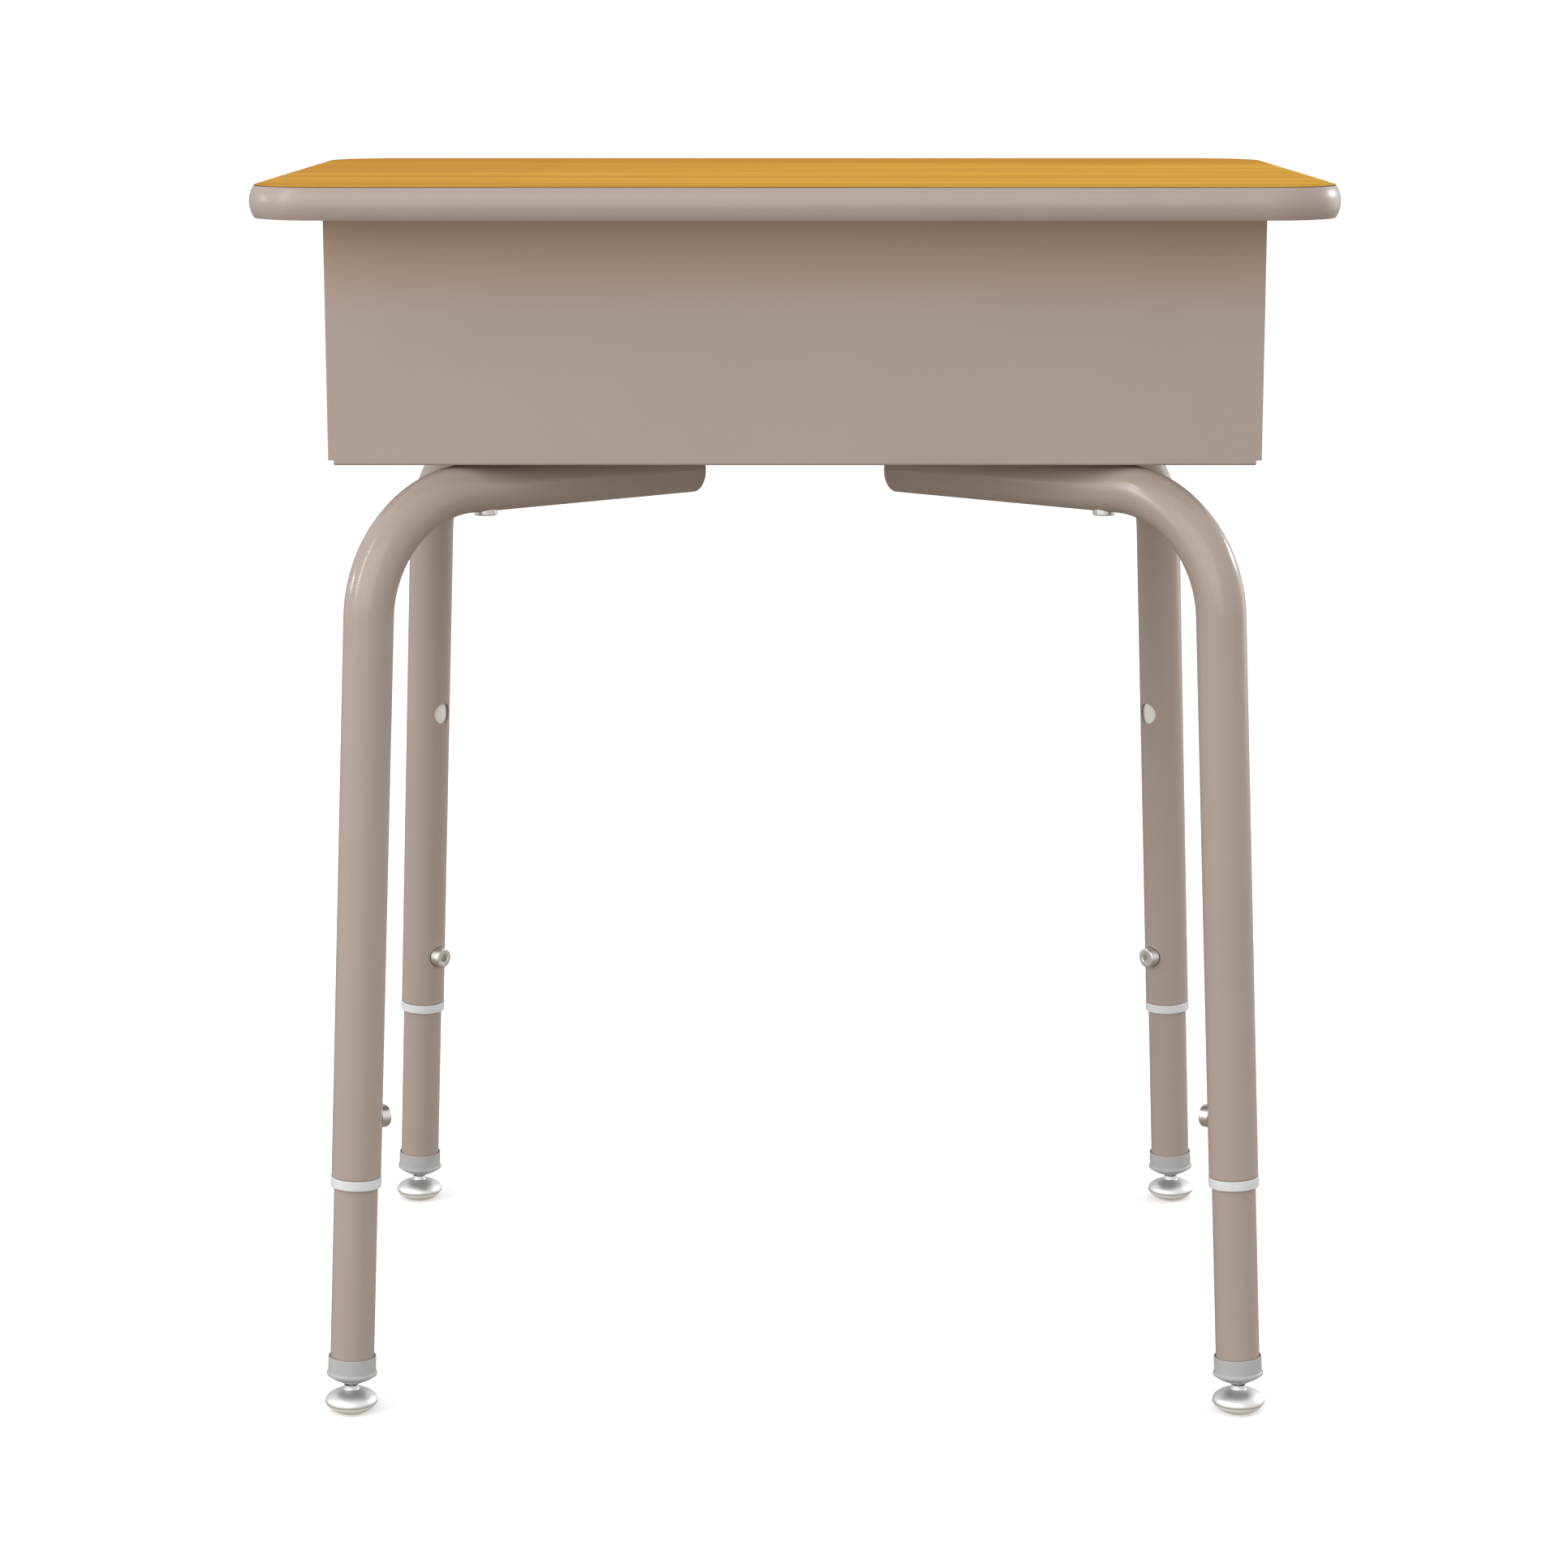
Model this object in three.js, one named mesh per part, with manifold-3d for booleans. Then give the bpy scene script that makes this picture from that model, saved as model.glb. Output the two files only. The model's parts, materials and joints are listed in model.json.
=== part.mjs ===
// Open-front student desk: laminate top, folded steel book box, four telescoping tube legs.
// Millimetres, +Z up. Origin on the floor under the middle of the top.
// +X is to the right and -Y is towards the box's closed panel; the box opens towards +Y.

import * as THREE from 'three';
import { mergeVertices } from 'three/addons/utils/BufferGeometryUtils.js';
import Module from 'manifold-3d';

const wasm = await Module();
wasm.setup();

// Clearance between neighbouring pieces.
const GAP = 0.3;

// Work surface.
const TOP_WIDTH = 609.6;
const TOP_DEPTH = 457.2;
const TOP_HEIGHT = 709.2;
const TOP_THICKNESS = 18.5;
const TOP_CORNER_RADIUS = 44.5;
const CORNER_STEPS = 6;
const LAMINATE = 0.8;
const BACKER = 0.6;
const UNDERSIDE = TOP_HEIGHT - TOP_THICKNESS;

// Edge band: a convex bumper with a tongue that sits in a groove of the core.
const BAND_THICKNESS = 3.1;
const BAND_BULGE = 2.6;
const BAND_STEPS = 6;
const TONGUE_DEPTH = 10;
const TONGUE_HEIGHT = 1.6;
const GROOVE_DEPTH = TONGUE_DEPTH + 1;
const GROOVE_HEIGHT = TONGUE_HEIGHT + 2 * GAP;

// Book box, folded from sheet.
const SHEET = 1.2;
const BOX_HALF_WIDTH = 266.1;
const BOX_CLOSED_Y = -168.6;
const BOX_OPEN_Y = 199.4;
const BOX_FLOOR = 549.6;
const BOX_CEILING = UNDERSIDE - GAP;
const NOTCH_WIDTH = 3.2;
const NOTCH_HEIGHT = 2.8;
const SKIRT_HEIGHT = 10;
const HEM_WIDTH = 13;
const FLANGE_WIDTH = 22;
const FLANGE_RELIEF = 2;

// Leg tubes. Each leg lies in a vertical plane through the middle of the desk.
const LEG_PLANE = THREE.MathUtils.degToRad(39.4);
const LEG_FOOT_RADIUS = 336.1;
const LEG_LEAN = Math.atan(0.0505);
const TUBE_SIDES = 16;
const UPPER_RADIUS = 14.3;
const LOWER_RADIUS = 12.7;
const TUBE_WALL = 1.2;
const RUN_HEIGHT = BOX_FLOOR - GAP - UPPER_RADIUS;
const RUN_END = 80.3;
const BEND_RADIUS = 71.5;
const BEND_STEPS = 6;
const UPPER_END = 141.5;
const LOWER_END = 26.3;
const LOWER_TOP = 360.5;

// Height adjustment.
const RING_HEIGHT = 6;
const RING_RADIUS = 14.7;
const RING_EDGE = 0.6;
const HOLE_PITCH = 28.1;
const HOLE_COUNT = 6;
const ADJUST_HEIGHT = 174.8;
const ADJUST_HEAD_RADIUS = 6.65;
const ADJUST_HEAD_OUT = 5.2;
const ADJUST_HEAD_EDGE = 0.7;
const ADJUST_HOLE_RADIUS = 6.95;
const THREAD_HOLE_RADIUS = 4.1;
const SOCKET_RADIUS = 2.9;
const SOCKET_DEPTH = 3.2;

// Ferrule and swivel glide, heights above the floor.
const FERRULE_TOP = 33.7;
const FERRULE_RADIUS = 13.9;
const FERRULE_LIP_RADIUS = 14.5;
const FERRULE_LIP = 22.9;
const FERRULE_LIP_BAND = 1.0;
const FERRULE_LIP_STEP = 0.7;
const FERRULE_TIP = 17.1;
const FERRULE_TIP_RADIUS = 4.7;
const PLUG_GAP = 0.4;
const PLUG_ABOVE_STEM = 2;
const STEM_RADIUS = 3.0;
const STEM_NECK_RADIUS = 2.2;
const STEM_TOP = 35.5;
const BALL_RADIUS = 3.9;
const BALL_HEIGHT = 10.4;
const BALL_STEPS = 4;

// Glide profiles, as radius and height above the floor. The dome's first two points are the bore
// of its collar: wider than the stem's neck, narrower than its ball.
const DOME_PROFILE = [
  [3.5, 16.1],
  [3.5, 12.9],
  [8.0, 11.4],
  [10.6, 10.3],
  [12.9, 8.6],
  [14.2, 6.6],
  [14.2, 5.5],
  [15.1, 5.5],
  [15.25, 6.4],
  [15.0, 7.8],
  [13.8, 9.55],
  [11.5, 11.25],
  [8.2, 12.65],
  [4.7, 13.45],
  [4.3, 14.2],
  [4.2, 16.1],
];
const PAD_PROFILE = [
  [0, 0],
  [8.0, 0],
  [10.0, 0.7],
  [12.2, 1.9],
  [13.8, 3.4],
  [14.6, 5.2],
  [0, 5.2],
];

// Fasteners.
const LEG_BOLT_RADIUS = 230.7;
const LEG_SCREW_RADIUS = 98;
const LEG_BOLT_HEAD_RADIUS = 6.65;
const LEG_BOLT_HEAD_BASE = 518.6;
const LEG_BOLT_SHANK = 3.0;
const LEG_BOLT_TOP = 557.5;
const NUT_RADIUS = 6.4;
const NUT_HEIGHT = 5;
const HEAD_BITE = 2;
// Pan head of the screw in the box, as radius and height above its seat.
const PAN_HEAD = [
  [0, 0],
  [5.6, 0],
  [5.2, 1.6],
  [3.4, 2.8],
  [0, 3.0],
];
const LEG_SCREW_REACH = 4;
const SCREW_SHANK = 2.1;
const SCREW_HEAD_RADIUS = 4.5;
const SCREW_HEAD_HEIGHT = 3;
const SCREW_DEPTH = 13;
const SCREW_Y = [-130, 15, 160];
const SCREW_X = BOX_HALF_WIDTH - FLANGE_WIDTH / 2;
const HOLE_CLEARANCE = 0.4;

const MATERIALS = {
  oak_laminate: new THREE.MeshStandardMaterial({ color: 0xd69e37, roughness: 0.45, metalness: 0 }),
  board: new THREE.MeshStandardMaterial({ color: 0xb08a58, roughness: 0.9, metalness: 0 }),
  backer: new THREE.MeshStandardMaterial({ color: 0xbc8d58, roughness: 0.7, metalness: 0 }),
  band: new THREE.MeshStandardMaterial({ color: 0xa99d97, roughness: 0.4, metalness: 0 }),
  powder_coat: new THREE.MeshStandardMaterial({ color: 0xa79b91, roughness: 0.5, metalness: 0 }),
  nylon: new THREE.MeshStandardMaterial({ color: 0xe1e2e4, roughness: 0.45, metalness: 0 }),
  ferrule: new THREE.MeshStandardMaterial({ color: 0xb0b0b0, roughness: 0.5, metalness: 0 }),
  nickel: new THREE.MeshStandardMaterial({ color: 0xc9c8c4, roughness: 0.25, metalness: 1 }),
  pad: new THREE.MeshStandardMaterial({ color: 0xcfd0d0, roughness: 0.6, metalness: 0 }),
  zinc: new THREE.MeshStandardMaterial({ color: 0xd2d2d0, roughness: 0.3, metalness: 1 }),
};

const desk = new THREE.Group();

// ---- helpers ------------------------------------------------------------------------------

function add(parent, name, geometry, material) {
  const mesh = new THREE.Mesh(geometry, MATERIALS[material].clone());
  mesh.name = name;
  parent.add(mesh);
  return mesh;
}

function toSolid(geometry) {
  const bare = geometry.clone();
  bare.deleteAttribute('normal');
  bare.deleteAttribute('uv');
  const merged = mergeVertices(bare, 1e-4);
  const mesh = new wasm.Mesh({
    numProp: 3,
    vertProperties: new Float32Array(merged.attributes.position.array),
    triVerts: new Uint32Array(merged.index.array),
  });
  mesh.merge();
  return new wasm.Manifold(mesh);
}

function toGeometry(solid) {
  const mesh = solid.getMesh();
  const geometry = new THREE.BufferGeometry();
  geometry.setAttribute('position', new THREE.BufferAttribute(mesh.vertProperties, 3));
  geometry.setIndex(new THREE.BufferAttribute(mesh.triVerts, 1));
  geometry.computeVertexNormals();
  return geometry;
}

// Joins the geometries in `parts` and cuts those in `cuts` out of them.
function combine(parts, cuts = []) {
  let solid = toSolid(parts[0]);
  for (const part of parts.slice(1)) {
    solid = solid.add(toSolid(part));
  }
  for (const cut of cuts) {
    solid = solid.subtract(toSolid(cut));
  }
  return toGeometry(solid);
}

function block(x0, x1, y0, y1, z0, z1) {
  const geometry = new THREE.BoxGeometry(x1 - x0, y1 - y0, z1 - z0);
  geometry.translate((x0 + x1) / 2, (y0 + y1) / 2, (z0 + z1) / 2);
  return geometry;
}

// Upright cylinder from z0 to z1 at (x, y).
function rod(radius, z0, z1, x = 0, y = 0, sides = 12) {
  const geometry = new THREE.CylinderGeometry(radius, radius, z1 - z0, sides);
  geometry.rotateX(Math.PI / 2);
  geometry.translate(x, y, (z0 + z1) / 2);
  return geometry;
}

// Body of revolution about Z from [radius, height] points.
function turned(profile, sides = TUBE_SIDES) {
  const points = profile.map(([radius, height]) => new THREE.Vector2(radius, height));
  const geometry = new THREE.LatheGeometry(points, sides);
  geometry.rotateX(Math.PI / 2);
  return geometry;
}

function closed(profile) {
  return [...profile, profile[0]];
}

// Rounded-rectangle outline: points with their outward directions, anticlockwise.
function roundedRectangle(halfX, halfY, radius, steps) {
  const outline = [];
  for (let corner = 0; corner < 4; corner += 1) {
    const signX = corner === 0 || corner === 3 ? 1 : -1;
    const signY = corner < 2 ? 1 : -1;
    const centre = new THREE.Vector2(signX * (halfX - radius), signY * (halfY - radius));
    for (let step = 0; step <= steps; step += 1) {
      const angle = (corner + step / steps) * (Math.PI / 2);
      const outward = new THREE.Vector2(Math.cos(angle), Math.sin(angle));
      outline.push({ point: centre.clone().addScaledVector(outward, radius), outward });
    }
  }
  return outline;
}

// Closed ring: `profile` is a list of [outward offset, height], clockwise seen along the outline.
function ringSweep(outline, profile) {
  const positions = [];
  const index = [];
  for (const { point, outward } of outline) {
    for (const [offset, height] of profile) {
      positions.push(point.x + outward.x * offset, point.y + outward.y * offset, height);
    }
  }
  const across = profile.length;
  for (let i = 0; i < outline.length; i += 1) {
    const next = (i + 1) % outline.length;
    for (let j = 0; j < across; j += 1) {
      const k = (j + 1) % across;
      index.push(i * across + j, next * across + j, next * across + k);
      index.push(i * across + j, next * across + k, i * across + k);
    }
  }
  const geometry = new THREE.BufferGeometry();
  geometry.setAttribute('position', new THREE.Float32BufferAttribute(positions, 3));
  geometry.setIndex(index);
  geometry.computeVertexNormals();
  return geometry;
}

function slab(outline, z0, z1) {
  const shape = new THREE.Shape(outline.map(({ point }) => point));
  const geometry = new THREE.ExtrudeGeometry(shape, { depth: z1 - z0, bevelEnabled: false });
  geometry.translate(0, 0, z0);
  return geometry;
}

// ---- work surface ---------------------------------------------------------------------------

function screwHoles(radius, z0, z1) {
  return [-1, 1].flatMap((side) => SCREW_Y.map((y) => rod(radius, z0, z1, side * SCREW_X, y)));
}

function buildTop() {
  const halfX = TOP_WIDTH / 2 - BAND_THICKNESS;
  const halfY = TOP_DEPTH / 2 - BAND_THICKNESS;
  const outline = roundedRectangle(halfX, halfY, TOP_CORNER_RADIUS - BAND_THICKNESS, CORNER_STEPS);
  const middle = (TOP_HEIGHT + UNDERSIDE) / 2;

  add(desk, 'top_laminate', slab(outline, TOP_HEIGHT - LAMINATE, TOP_HEIGHT), 'oak_laminate');

  const coreTop = TOP_HEIGHT - LAMINATE - GAP;
  const coreBase = UNDERSIDE + BACKER + GAP;
  const pilot = SCREW_SHANK + HOLE_CLEARANCE;
  const groove = ringSweep(outline, [
    [1, middle - GROOVE_HEIGHT / 2],
    [1, middle + GROOVE_HEIGHT / 2],
    [-GROOVE_DEPTH, middle + GROOVE_HEIGHT / 2],
    [-GROOVE_DEPTH, middle - GROOVE_HEIGHT / 2],
  ]);
  const pockets = screwHoles(pilot, coreBase - 1, UNDERSIDE + SCREW_DEPTH + GAP);
  add(desk, 'top_core', combine([slab(outline, coreBase, coreTop)], [groove, ...pockets]), 'board');

  const through = screwHoles(pilot, UNDERSIDE - 1, UNDERSIDE + BACKER + 1);
  add(desk, 'top_backer', combine([slab(outline, UNDERSIDE, UNDERSIDE + BACKER)], through), 'backer');

  add(desk, 'edge_band', ringSweep(outline, bandProfile(middle)), 'band');
}

// Cross-section of the edge band: flat back with a tongue, convex face.
function bandProfile(middle) {
  const half = TOP_THICKNESS / 2;
  const profile = [];
  for (let step = 0; step <= BAND_STEPS; step += 1) {
    const along = 2 * (step / BAND_STEPS) - 1;
    const out = BAND_THICKNESS - BAND_BULGE * along * along;
    profile.push([out, middle + along * half]);
  }
  profile.push([GAP, middle + half]);
  profile.push([GAP, middle + TONGUE_HEIGHT / 2]);
  profile.push([-TONGUE_DEPTH, middle + TONGUE_HEIGHT / 2]);
  profile.push([-TONGUE_DEPTH, middle - TONGUE_HEIGHT / 2]);
  profile.push([GAP, middle - TONGUE_HEIGHT / 2]);
  profile.push([GAP, middle - half]);
  return profile;
}

// ---- book box ---------------------------------------------------------------------------------

function legPoint(legAngle, radius) {
  return [radius * Math.cos(legAngle), radius * Math.sin(legAngle)];
}

function floorHoles() {
  const radius = LEG_BOLT_SHANK + HOLE_CLEARANCE;
  return LEGS.flatMap(({ angle }) =>
    [LEG_BOLT_RADIUS, LEG_SCREW_RADIUS].map((place) => {
      const [x, y] = legPoint(angle, place);
      return rod(radius, BOX_FLOOR - 1, BOX_FLOOR + 3 * SHEET, x, y);
    }),
  );
}

// Closed panel and bottom folded from one sheet, with hemmed edges and a top flange.
function buildPan() {
  const floorHalf = BOX_HALF_WIDTH - NOTCH_WIDTH;
  const inner = BOX_CLOSED_Y + SHEET;
  const hemTop = BOX_FLOOR + 2 * SHEET;
  const skirtTop = BOX_FLOOR + SKIRT_HEIGHT;
  const flangeHalf = BOX_HALF_WIDTH - FLANGE_WIDTH - FLANGE_RELIEF;
  const panel = block(
    -BOX_HALF_WIDTH, BOX_HALF_WIDTH, BOX_CLOSED_Y, inner, BOX_FLOOR + NOTCH_HEIGHT, BOX_CEILING,
  );
  const skirt = block(-floorHalf, floorHalf, BOX_CLOSED_Y, inner, BOX_FLOOR, skirtTop);
  const floor = block(-floorHalf, floorHalf, BOX_CLOSED_Y, BOX_OPEN_Y, BOX_FLOOR, BOX_FLOOR + SHEET);
  const flange = block(
    -flangeHalf, flangeHalf,
    BOX_CLOSED_Y, BOX_CLOSED_Y + FLANGE_WIDTH, BOX_CEILING - SHEET, BOX_CEILING,
  );
  const frontHem = block(-floorHalf, floorHalf, BOX_OPEN_Y - HEM_WIDTH, BOX_OPEN_Y, BOX_FLOOR, hemTop);
  const sideHems = [-1, 1].map((side) => {
    const edge = side * floorHalf;
    const inside = side * (floorHalf - HEM_WIDTH);
    return block(
      Math.min(edge, inside), Math.max(edge, inside), inner, BOX_OPEN_Y, BOX_FLOOR, hemTop,
    );
  });
  const solid = combine([panel, skirt, floor, flange, frontHem, ...sideHems], floorHoles());
  add(desk, 'book_box_pan', solid, 'powder_coat');
}

// Side panel with flanges turned inwards at its top, bottom and closed-panel edges, and a hem
// along its open edge.
function buildSide(name, side) {
  const near = BOX_CLOSED_Y + SHEET + GAP;
  const base = BOX_FLOOR + 2 * SHEET + GAP;
  const across = (width, y0, y1, z0, z1) => {
    const outer = side * BOX_HALF_WIDTH;
    const inside = side * (BOX_HALF_WIDTH - width);
    return block(Math.min(outer, inside), Math.max(outer, inside), y0, y1, z0, z1);
  };
  const parts = [
    across(SHEET, near, BOX_OPEN_Y, base, BOX_CEILING),
    across(FLANGE_WIDTH, near, BOX_OPEN_Y, BOX_CEILING - SHEET, BOX_CEILING),
    across(NOTCH_WIDTH + HEM_WIDTH, near, BOX_OPEN_Y, base, base + SHEET),
    across(2 * SHEET, BOX_OPEN_Y - HEM_WIDTH, BOX_OPEN_Y, base, BOX_CEILING),
    across(HEM_WIDTH, near, near + SHEET, base, BOX_CEILING - SHEET - GAP),
  ];
  const holes = screwHoles(SCREW_SHANK + HOLE_CLEARANCE, BOX_CEILING - 2 * SHEET, BOX_CEILING + 1);
  add(desk, name, combine(parts, holes), 'powder_coat');
}

// ---- legs -------------------------------------------------------------------------------------

// Centre line of an upper leg through hand-placed stations: straight, bend, straight.
class StationPath extends THREE.Curve {
  constructor(stations) {
    super();
    this.stations = stations;
  }

  getPoint(t, target = new THREE.Vector3()) {
    return target.copy(this.stations[Math.round(t * (this.stations.length - 1))].point);
  }

  getPointAt(u, target) {
    return this.getPoint(u, target);
  }

  getTangent(t, target = new THREE.Vector3()) {
    return target.copy(this.stations[Math.round(t * (this.stations.length - 1))].tangent);
  }

  getTangentAt(u, target) {
    return this.getTangent(u, target);
  }
}

function ringPoints(radius) {
  const points = [];
  for (let i = 0; i < TUBE_SIDES; i += 1) {
    const angle = (2 * Math.PI * i) / TUBE_SIDES;
    points.push(new THREE.Vector2(radius * Math.cos(angle), radius * Math.sin(angle)));
  }
  return points;
}

// Radius from the desk's middle, of the leg's centre line at a height.
function lineRadius(height) {
  return LEG_FOOT_RADIUS - Math.tan(LEG_LEAN) * height;
}

function upperLegPath() {
  const turn = Math.PI / 2 - LEG_LEAN;
  const trim = BEND_RADIUS * Math.tan(turn / 2);
  const cornerX = lineRadius(RUN_HEIGHT);
  const up = new THREE.Vector3(-Math.sin(LEG_LEAN), 0, Math.cos(LEG_LEAN));
  const inward = new THREE.Vector3(-1, 0, 0);
  const corner = new THREE.Vector3(cornerX, 0, RUN_HEIGHT);
  const centre = new THREE.Vector3(cornerX - trim, 0, RUN_HEIGHT - BEND_RADIUS);
  const stations = [{ point: new THREE.Vector3(lineRadius(UPPER_END), 0, UPPER_END), tangent: up }];
  for (let step = 0; step <= BEND_STEPS; step += 1) {
    const angle = LEG_LEAN + (turn * step) / BEND_STEPS;
    const outward = new THREE.Vector3(Math.cos(angle), 0, Math.sin(angle));
    const point = centre.clone().addScaledVector(outward, BEND_RADIUS);
    stations.push({ point, tangent: new THREE.Vector3(-Math.sin(angle), 0, Math.cos(angle)) });
  }
  stations.push({ point: new THREE.Vector3(RUN_END, 0, corner.z), tangent: inward });
  return new StationPath(stations);
}

// Cylinder across the leg towards the desk's middle, from `start` to `end` out of the centre line.
function crossRod(radius, start, end, along, sides = 12) {
  const geometry = new THREE.CylinderGeometry(radius, radius, end - start, sides);
  geometry.rotateZ(Math.PI / 2);
  geometry.translate(-(start + end) / 2, 0, along);
  return geometry;
}

// Distance along the leaning centre line, from its floor point, of a height above the floor.
function along(height) {
  return height / Math.cos(LEG_LEAN);
}

function placeOnLine(geometry) {
  geometry.rotateY(-LEG_LEAN);
  geometry.translate(LEG_FOOT_RADIUS, 0, 0);
  return geometry;
}

function upperLeg() {
  const shape = new THREE.Shape(ringPoints(UPPER_RADIUS));
  shape.holes.push(new THREE.Path(ringPoints(UPPER_RADIUS - TUBE_WALL)));
  const path = upperLegPath();
  const tube = new THREE.ExtrudeGeometry(shape, {
    steps: path.stations.length - 1,
    extrudePath: path,
  });
  const upperHole = along(ADJUST_HEIGHT) + HOLE_COUNT * HOLE_PITCH;
  const cuts = [along(ADJUST_HEIGHT), upperHole].map((place) =>
    placeOnLine(crossRod(ADJUST_HOLE_RADIUS, LOWER_RADIUS / 2, UPPER_RADIUS + 3, place)),
  );
  const shank = LEG_BOLT_SHANK + HOLE_CLEARANCE;
  cuts.push(rod(shank, RUN_HEIGHT - 20, RUN_HEIGHT + 20, LEG_BOLT_RADIUS));
  cuts.push(rod(shank, RUN_HEIGHT, RUN_HEIGHT + 20, LEG_SCREW_RADIUS));
  return combine([tube], cuts);
}

function lowerLeg() {
  const base = along(LOWER_END);
  const top = along(LOWER_TOP);
  const inner = LOWER_RADIUS - TUBE_WALL;
  const tube = turned(closed([
    [inner, base],
    [LOWER_RADIUS, base],
    [LOWER_RADIUS, top],
    [inner, top],
  ]));
  const holes = [];
  for (let k = 0; k < HOLE_COUNT; k += 1) {
    const place = along(ADJUST_HEIGHT) + k * HOLE_PITCH;
    holes.push(crossRod(THREAD_HOLE_RADIUS, LOWER_RADIUS / 2, LOWER_RADIUS + 3, place, 10));
  }
  return combine([tube], holes);
}

function nylonRing() {
  const top = along(UPPER_END) - GAP;
  const base = top - RING_HEIGHT;
  const inner = LOWER_RADIUS + GAP;
  return turned(closed([
    [inner, base],
    [RING_RADIUS - RING_EDGE, base],
    [RING_RADIUS, base + RING_EDGE],
    [RING_RADIUS, top],
    [inner, top],
  ]));
}

// Flat round head with a hex socket, sunk in the upper tube's hole.
function adjustBolt() {
  const inside = UPPER_RADIUS - TUBE_WALL;
  const length = UPPER_RADIUS + ADJUST_HEAD_OUT - inside;
  const head = turned([
    [0, 0],
    [ADJUST_HEAD_RADIUS, 0],
    [ADJUST_HEAD_RADIUS, length - ADJUST_HEAD_EDGE],
    [ADJUST_HEAD_RADIUS - ADJUST_HEAD_EDGE, length],
    [0, length],
  ]);
  const socket = rod(SOCKET_RADIUS, length - SOCKET_DEPTH, length + 1, 0, 0, 6);
  const bolt = combine([head], [socket]);
  bolt.rotateY(-Math.PI / 2);
  bolt.translate(-inside, 0, along(ADJUST_HEIGHT));
  return bolt;
}

// Cap over the lower tube's end, with a plug inside the tube and a bore for the glide's stem.
function ferrule() {
  const bore = STEM_RADIUS + GAP;
  const pocket = LOWER_END - GAP;
  const plug = LOWER_RADIUS - TUBE_WALL - PLUG_GAP;
  const plugTop = STEM_TOP + PLUG_ABOVE_STEM;
  const lipTop = FERRULE_LIP + FERRULE_LIP_BAND;
  return turned(closed([
    [bore, FERRULE_TIP],
    [FERRULE_TIP_RADIUS, FERRULE_TIP],
    [FERRULE_LIP_RADIUS, FERRULE_LIP],
    [FERRULE_LIP_RADIUS, lipTop],
    [FERRULE_RADIUS, lipTop + FERRULE_LIP_STEP],
    [FERRULE_RADIUS, FERRULE_TOP],
    [LOWER_RADIUS + GAP, FERRULE_TOP],
    [LOWER_RADIUS + GAP, pocket],
    [plug, pocket],
    [plug, plugTop],
    [bore, plugTop],
  ]));
}

function glideStem() {
  const ball = [];
  const neckAngle = Math.acos(STEM_NECK_RADIUS / BALL_RADIUS);
  for (let step = 0; step <= BALL_STEPS; step += 1) {
    const angle = -Math.PI / 2 + ((Math.PI / 2 + neckAngle) * step) / BALL_STEPS;
    const radius = step ? BALL_RADIUS * Math.cos(angle) : 0;
    ball.push([radius, along(BALL_HEIGHT) + BALL_RADIUS * Math.sin(angle)]);
  }
  const shoulder = FERRULE_TIP + 1;
  return turned([
    ...ball,
    [STEM_NECK_RADIUS, shoulder],
    [STEM_RADIUS, shoulder],
    [STEM_RADIUS, STEM_TOP],
    [0, STEM_TOP],
  ], 12);
}

// Bolt from below through the tube and the box floor; its head is dished to the tube.
function legBolt() {
  const headTop = RUN_HEIGHT - UPPER_RADIUS + HEAD_BITE;
  const head = rod(
    LEG_BOLT_HEAD_RADIUS, LEG_BOLT_HEAD_BASE, headTop, LEG_BOLT_RADIUS, 0, TUBE_SIDES,
  );
  const shank = rod(LEG_BOLT_SHANK, LEG_BOLT_HEAD_BASE + 1, LEG_BOLT_TOP, LEG_BOLT_RADIUS);
  const tube = new THREE.CylinderGeometry(UPPER_RADIUS + GAP, UPPER_RADIUS + GAP, 40, 32);
  tube.rotateZ(Math.PI / 2);
  tube.translate(LEG_BOLT_RADIUS, 0, RUN_HEIGHT);
  const dished = combine([head], [tube]);
  return combine([dished, shank]);
}

function legNut() {
  const base = BOX_FLOOR + SHEET + GAP;
  const body = rod(NUT_RADIUS, base, base + NUT_HEIGHT, LEG_BOLT_RADIUS, 0, 6);
  const hole = rod(LEG_BOLT_SHANK + GAP, base - 1, base + NUT_HEIGHT + 1, LEG_BOLT_RADIUS);
  return combine([body], [hole]);
}

// Screw from inside the box into the top of the tube.
function legScrew() {
  const seat = BOX_FLOOR + SHEET + GAP;
  const head = turned(PAN_HEAD, 12);
  head.translate(LEG_SCREW_RADIUS, 0, seat);
  const shank = rod(LEG_BOLT_SHANK, RUN_HEIGHT + LEG_SCREW_REACH, seat + 1, LEG_SCREW_RADIUS);
  return combine([head, shank]);
}

const LEGS = [
  { name: 'left_closed_side', angle: Math.PI + LEG_PLANE },
  { name: 'right_closed_side', angle: -LEG_PLANE },
  { name: 'right_open_side', angle: LEG_PLANE },
  { name: 'left_open_side', angle: Math.PI - LEG_PLANE },
];

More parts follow.
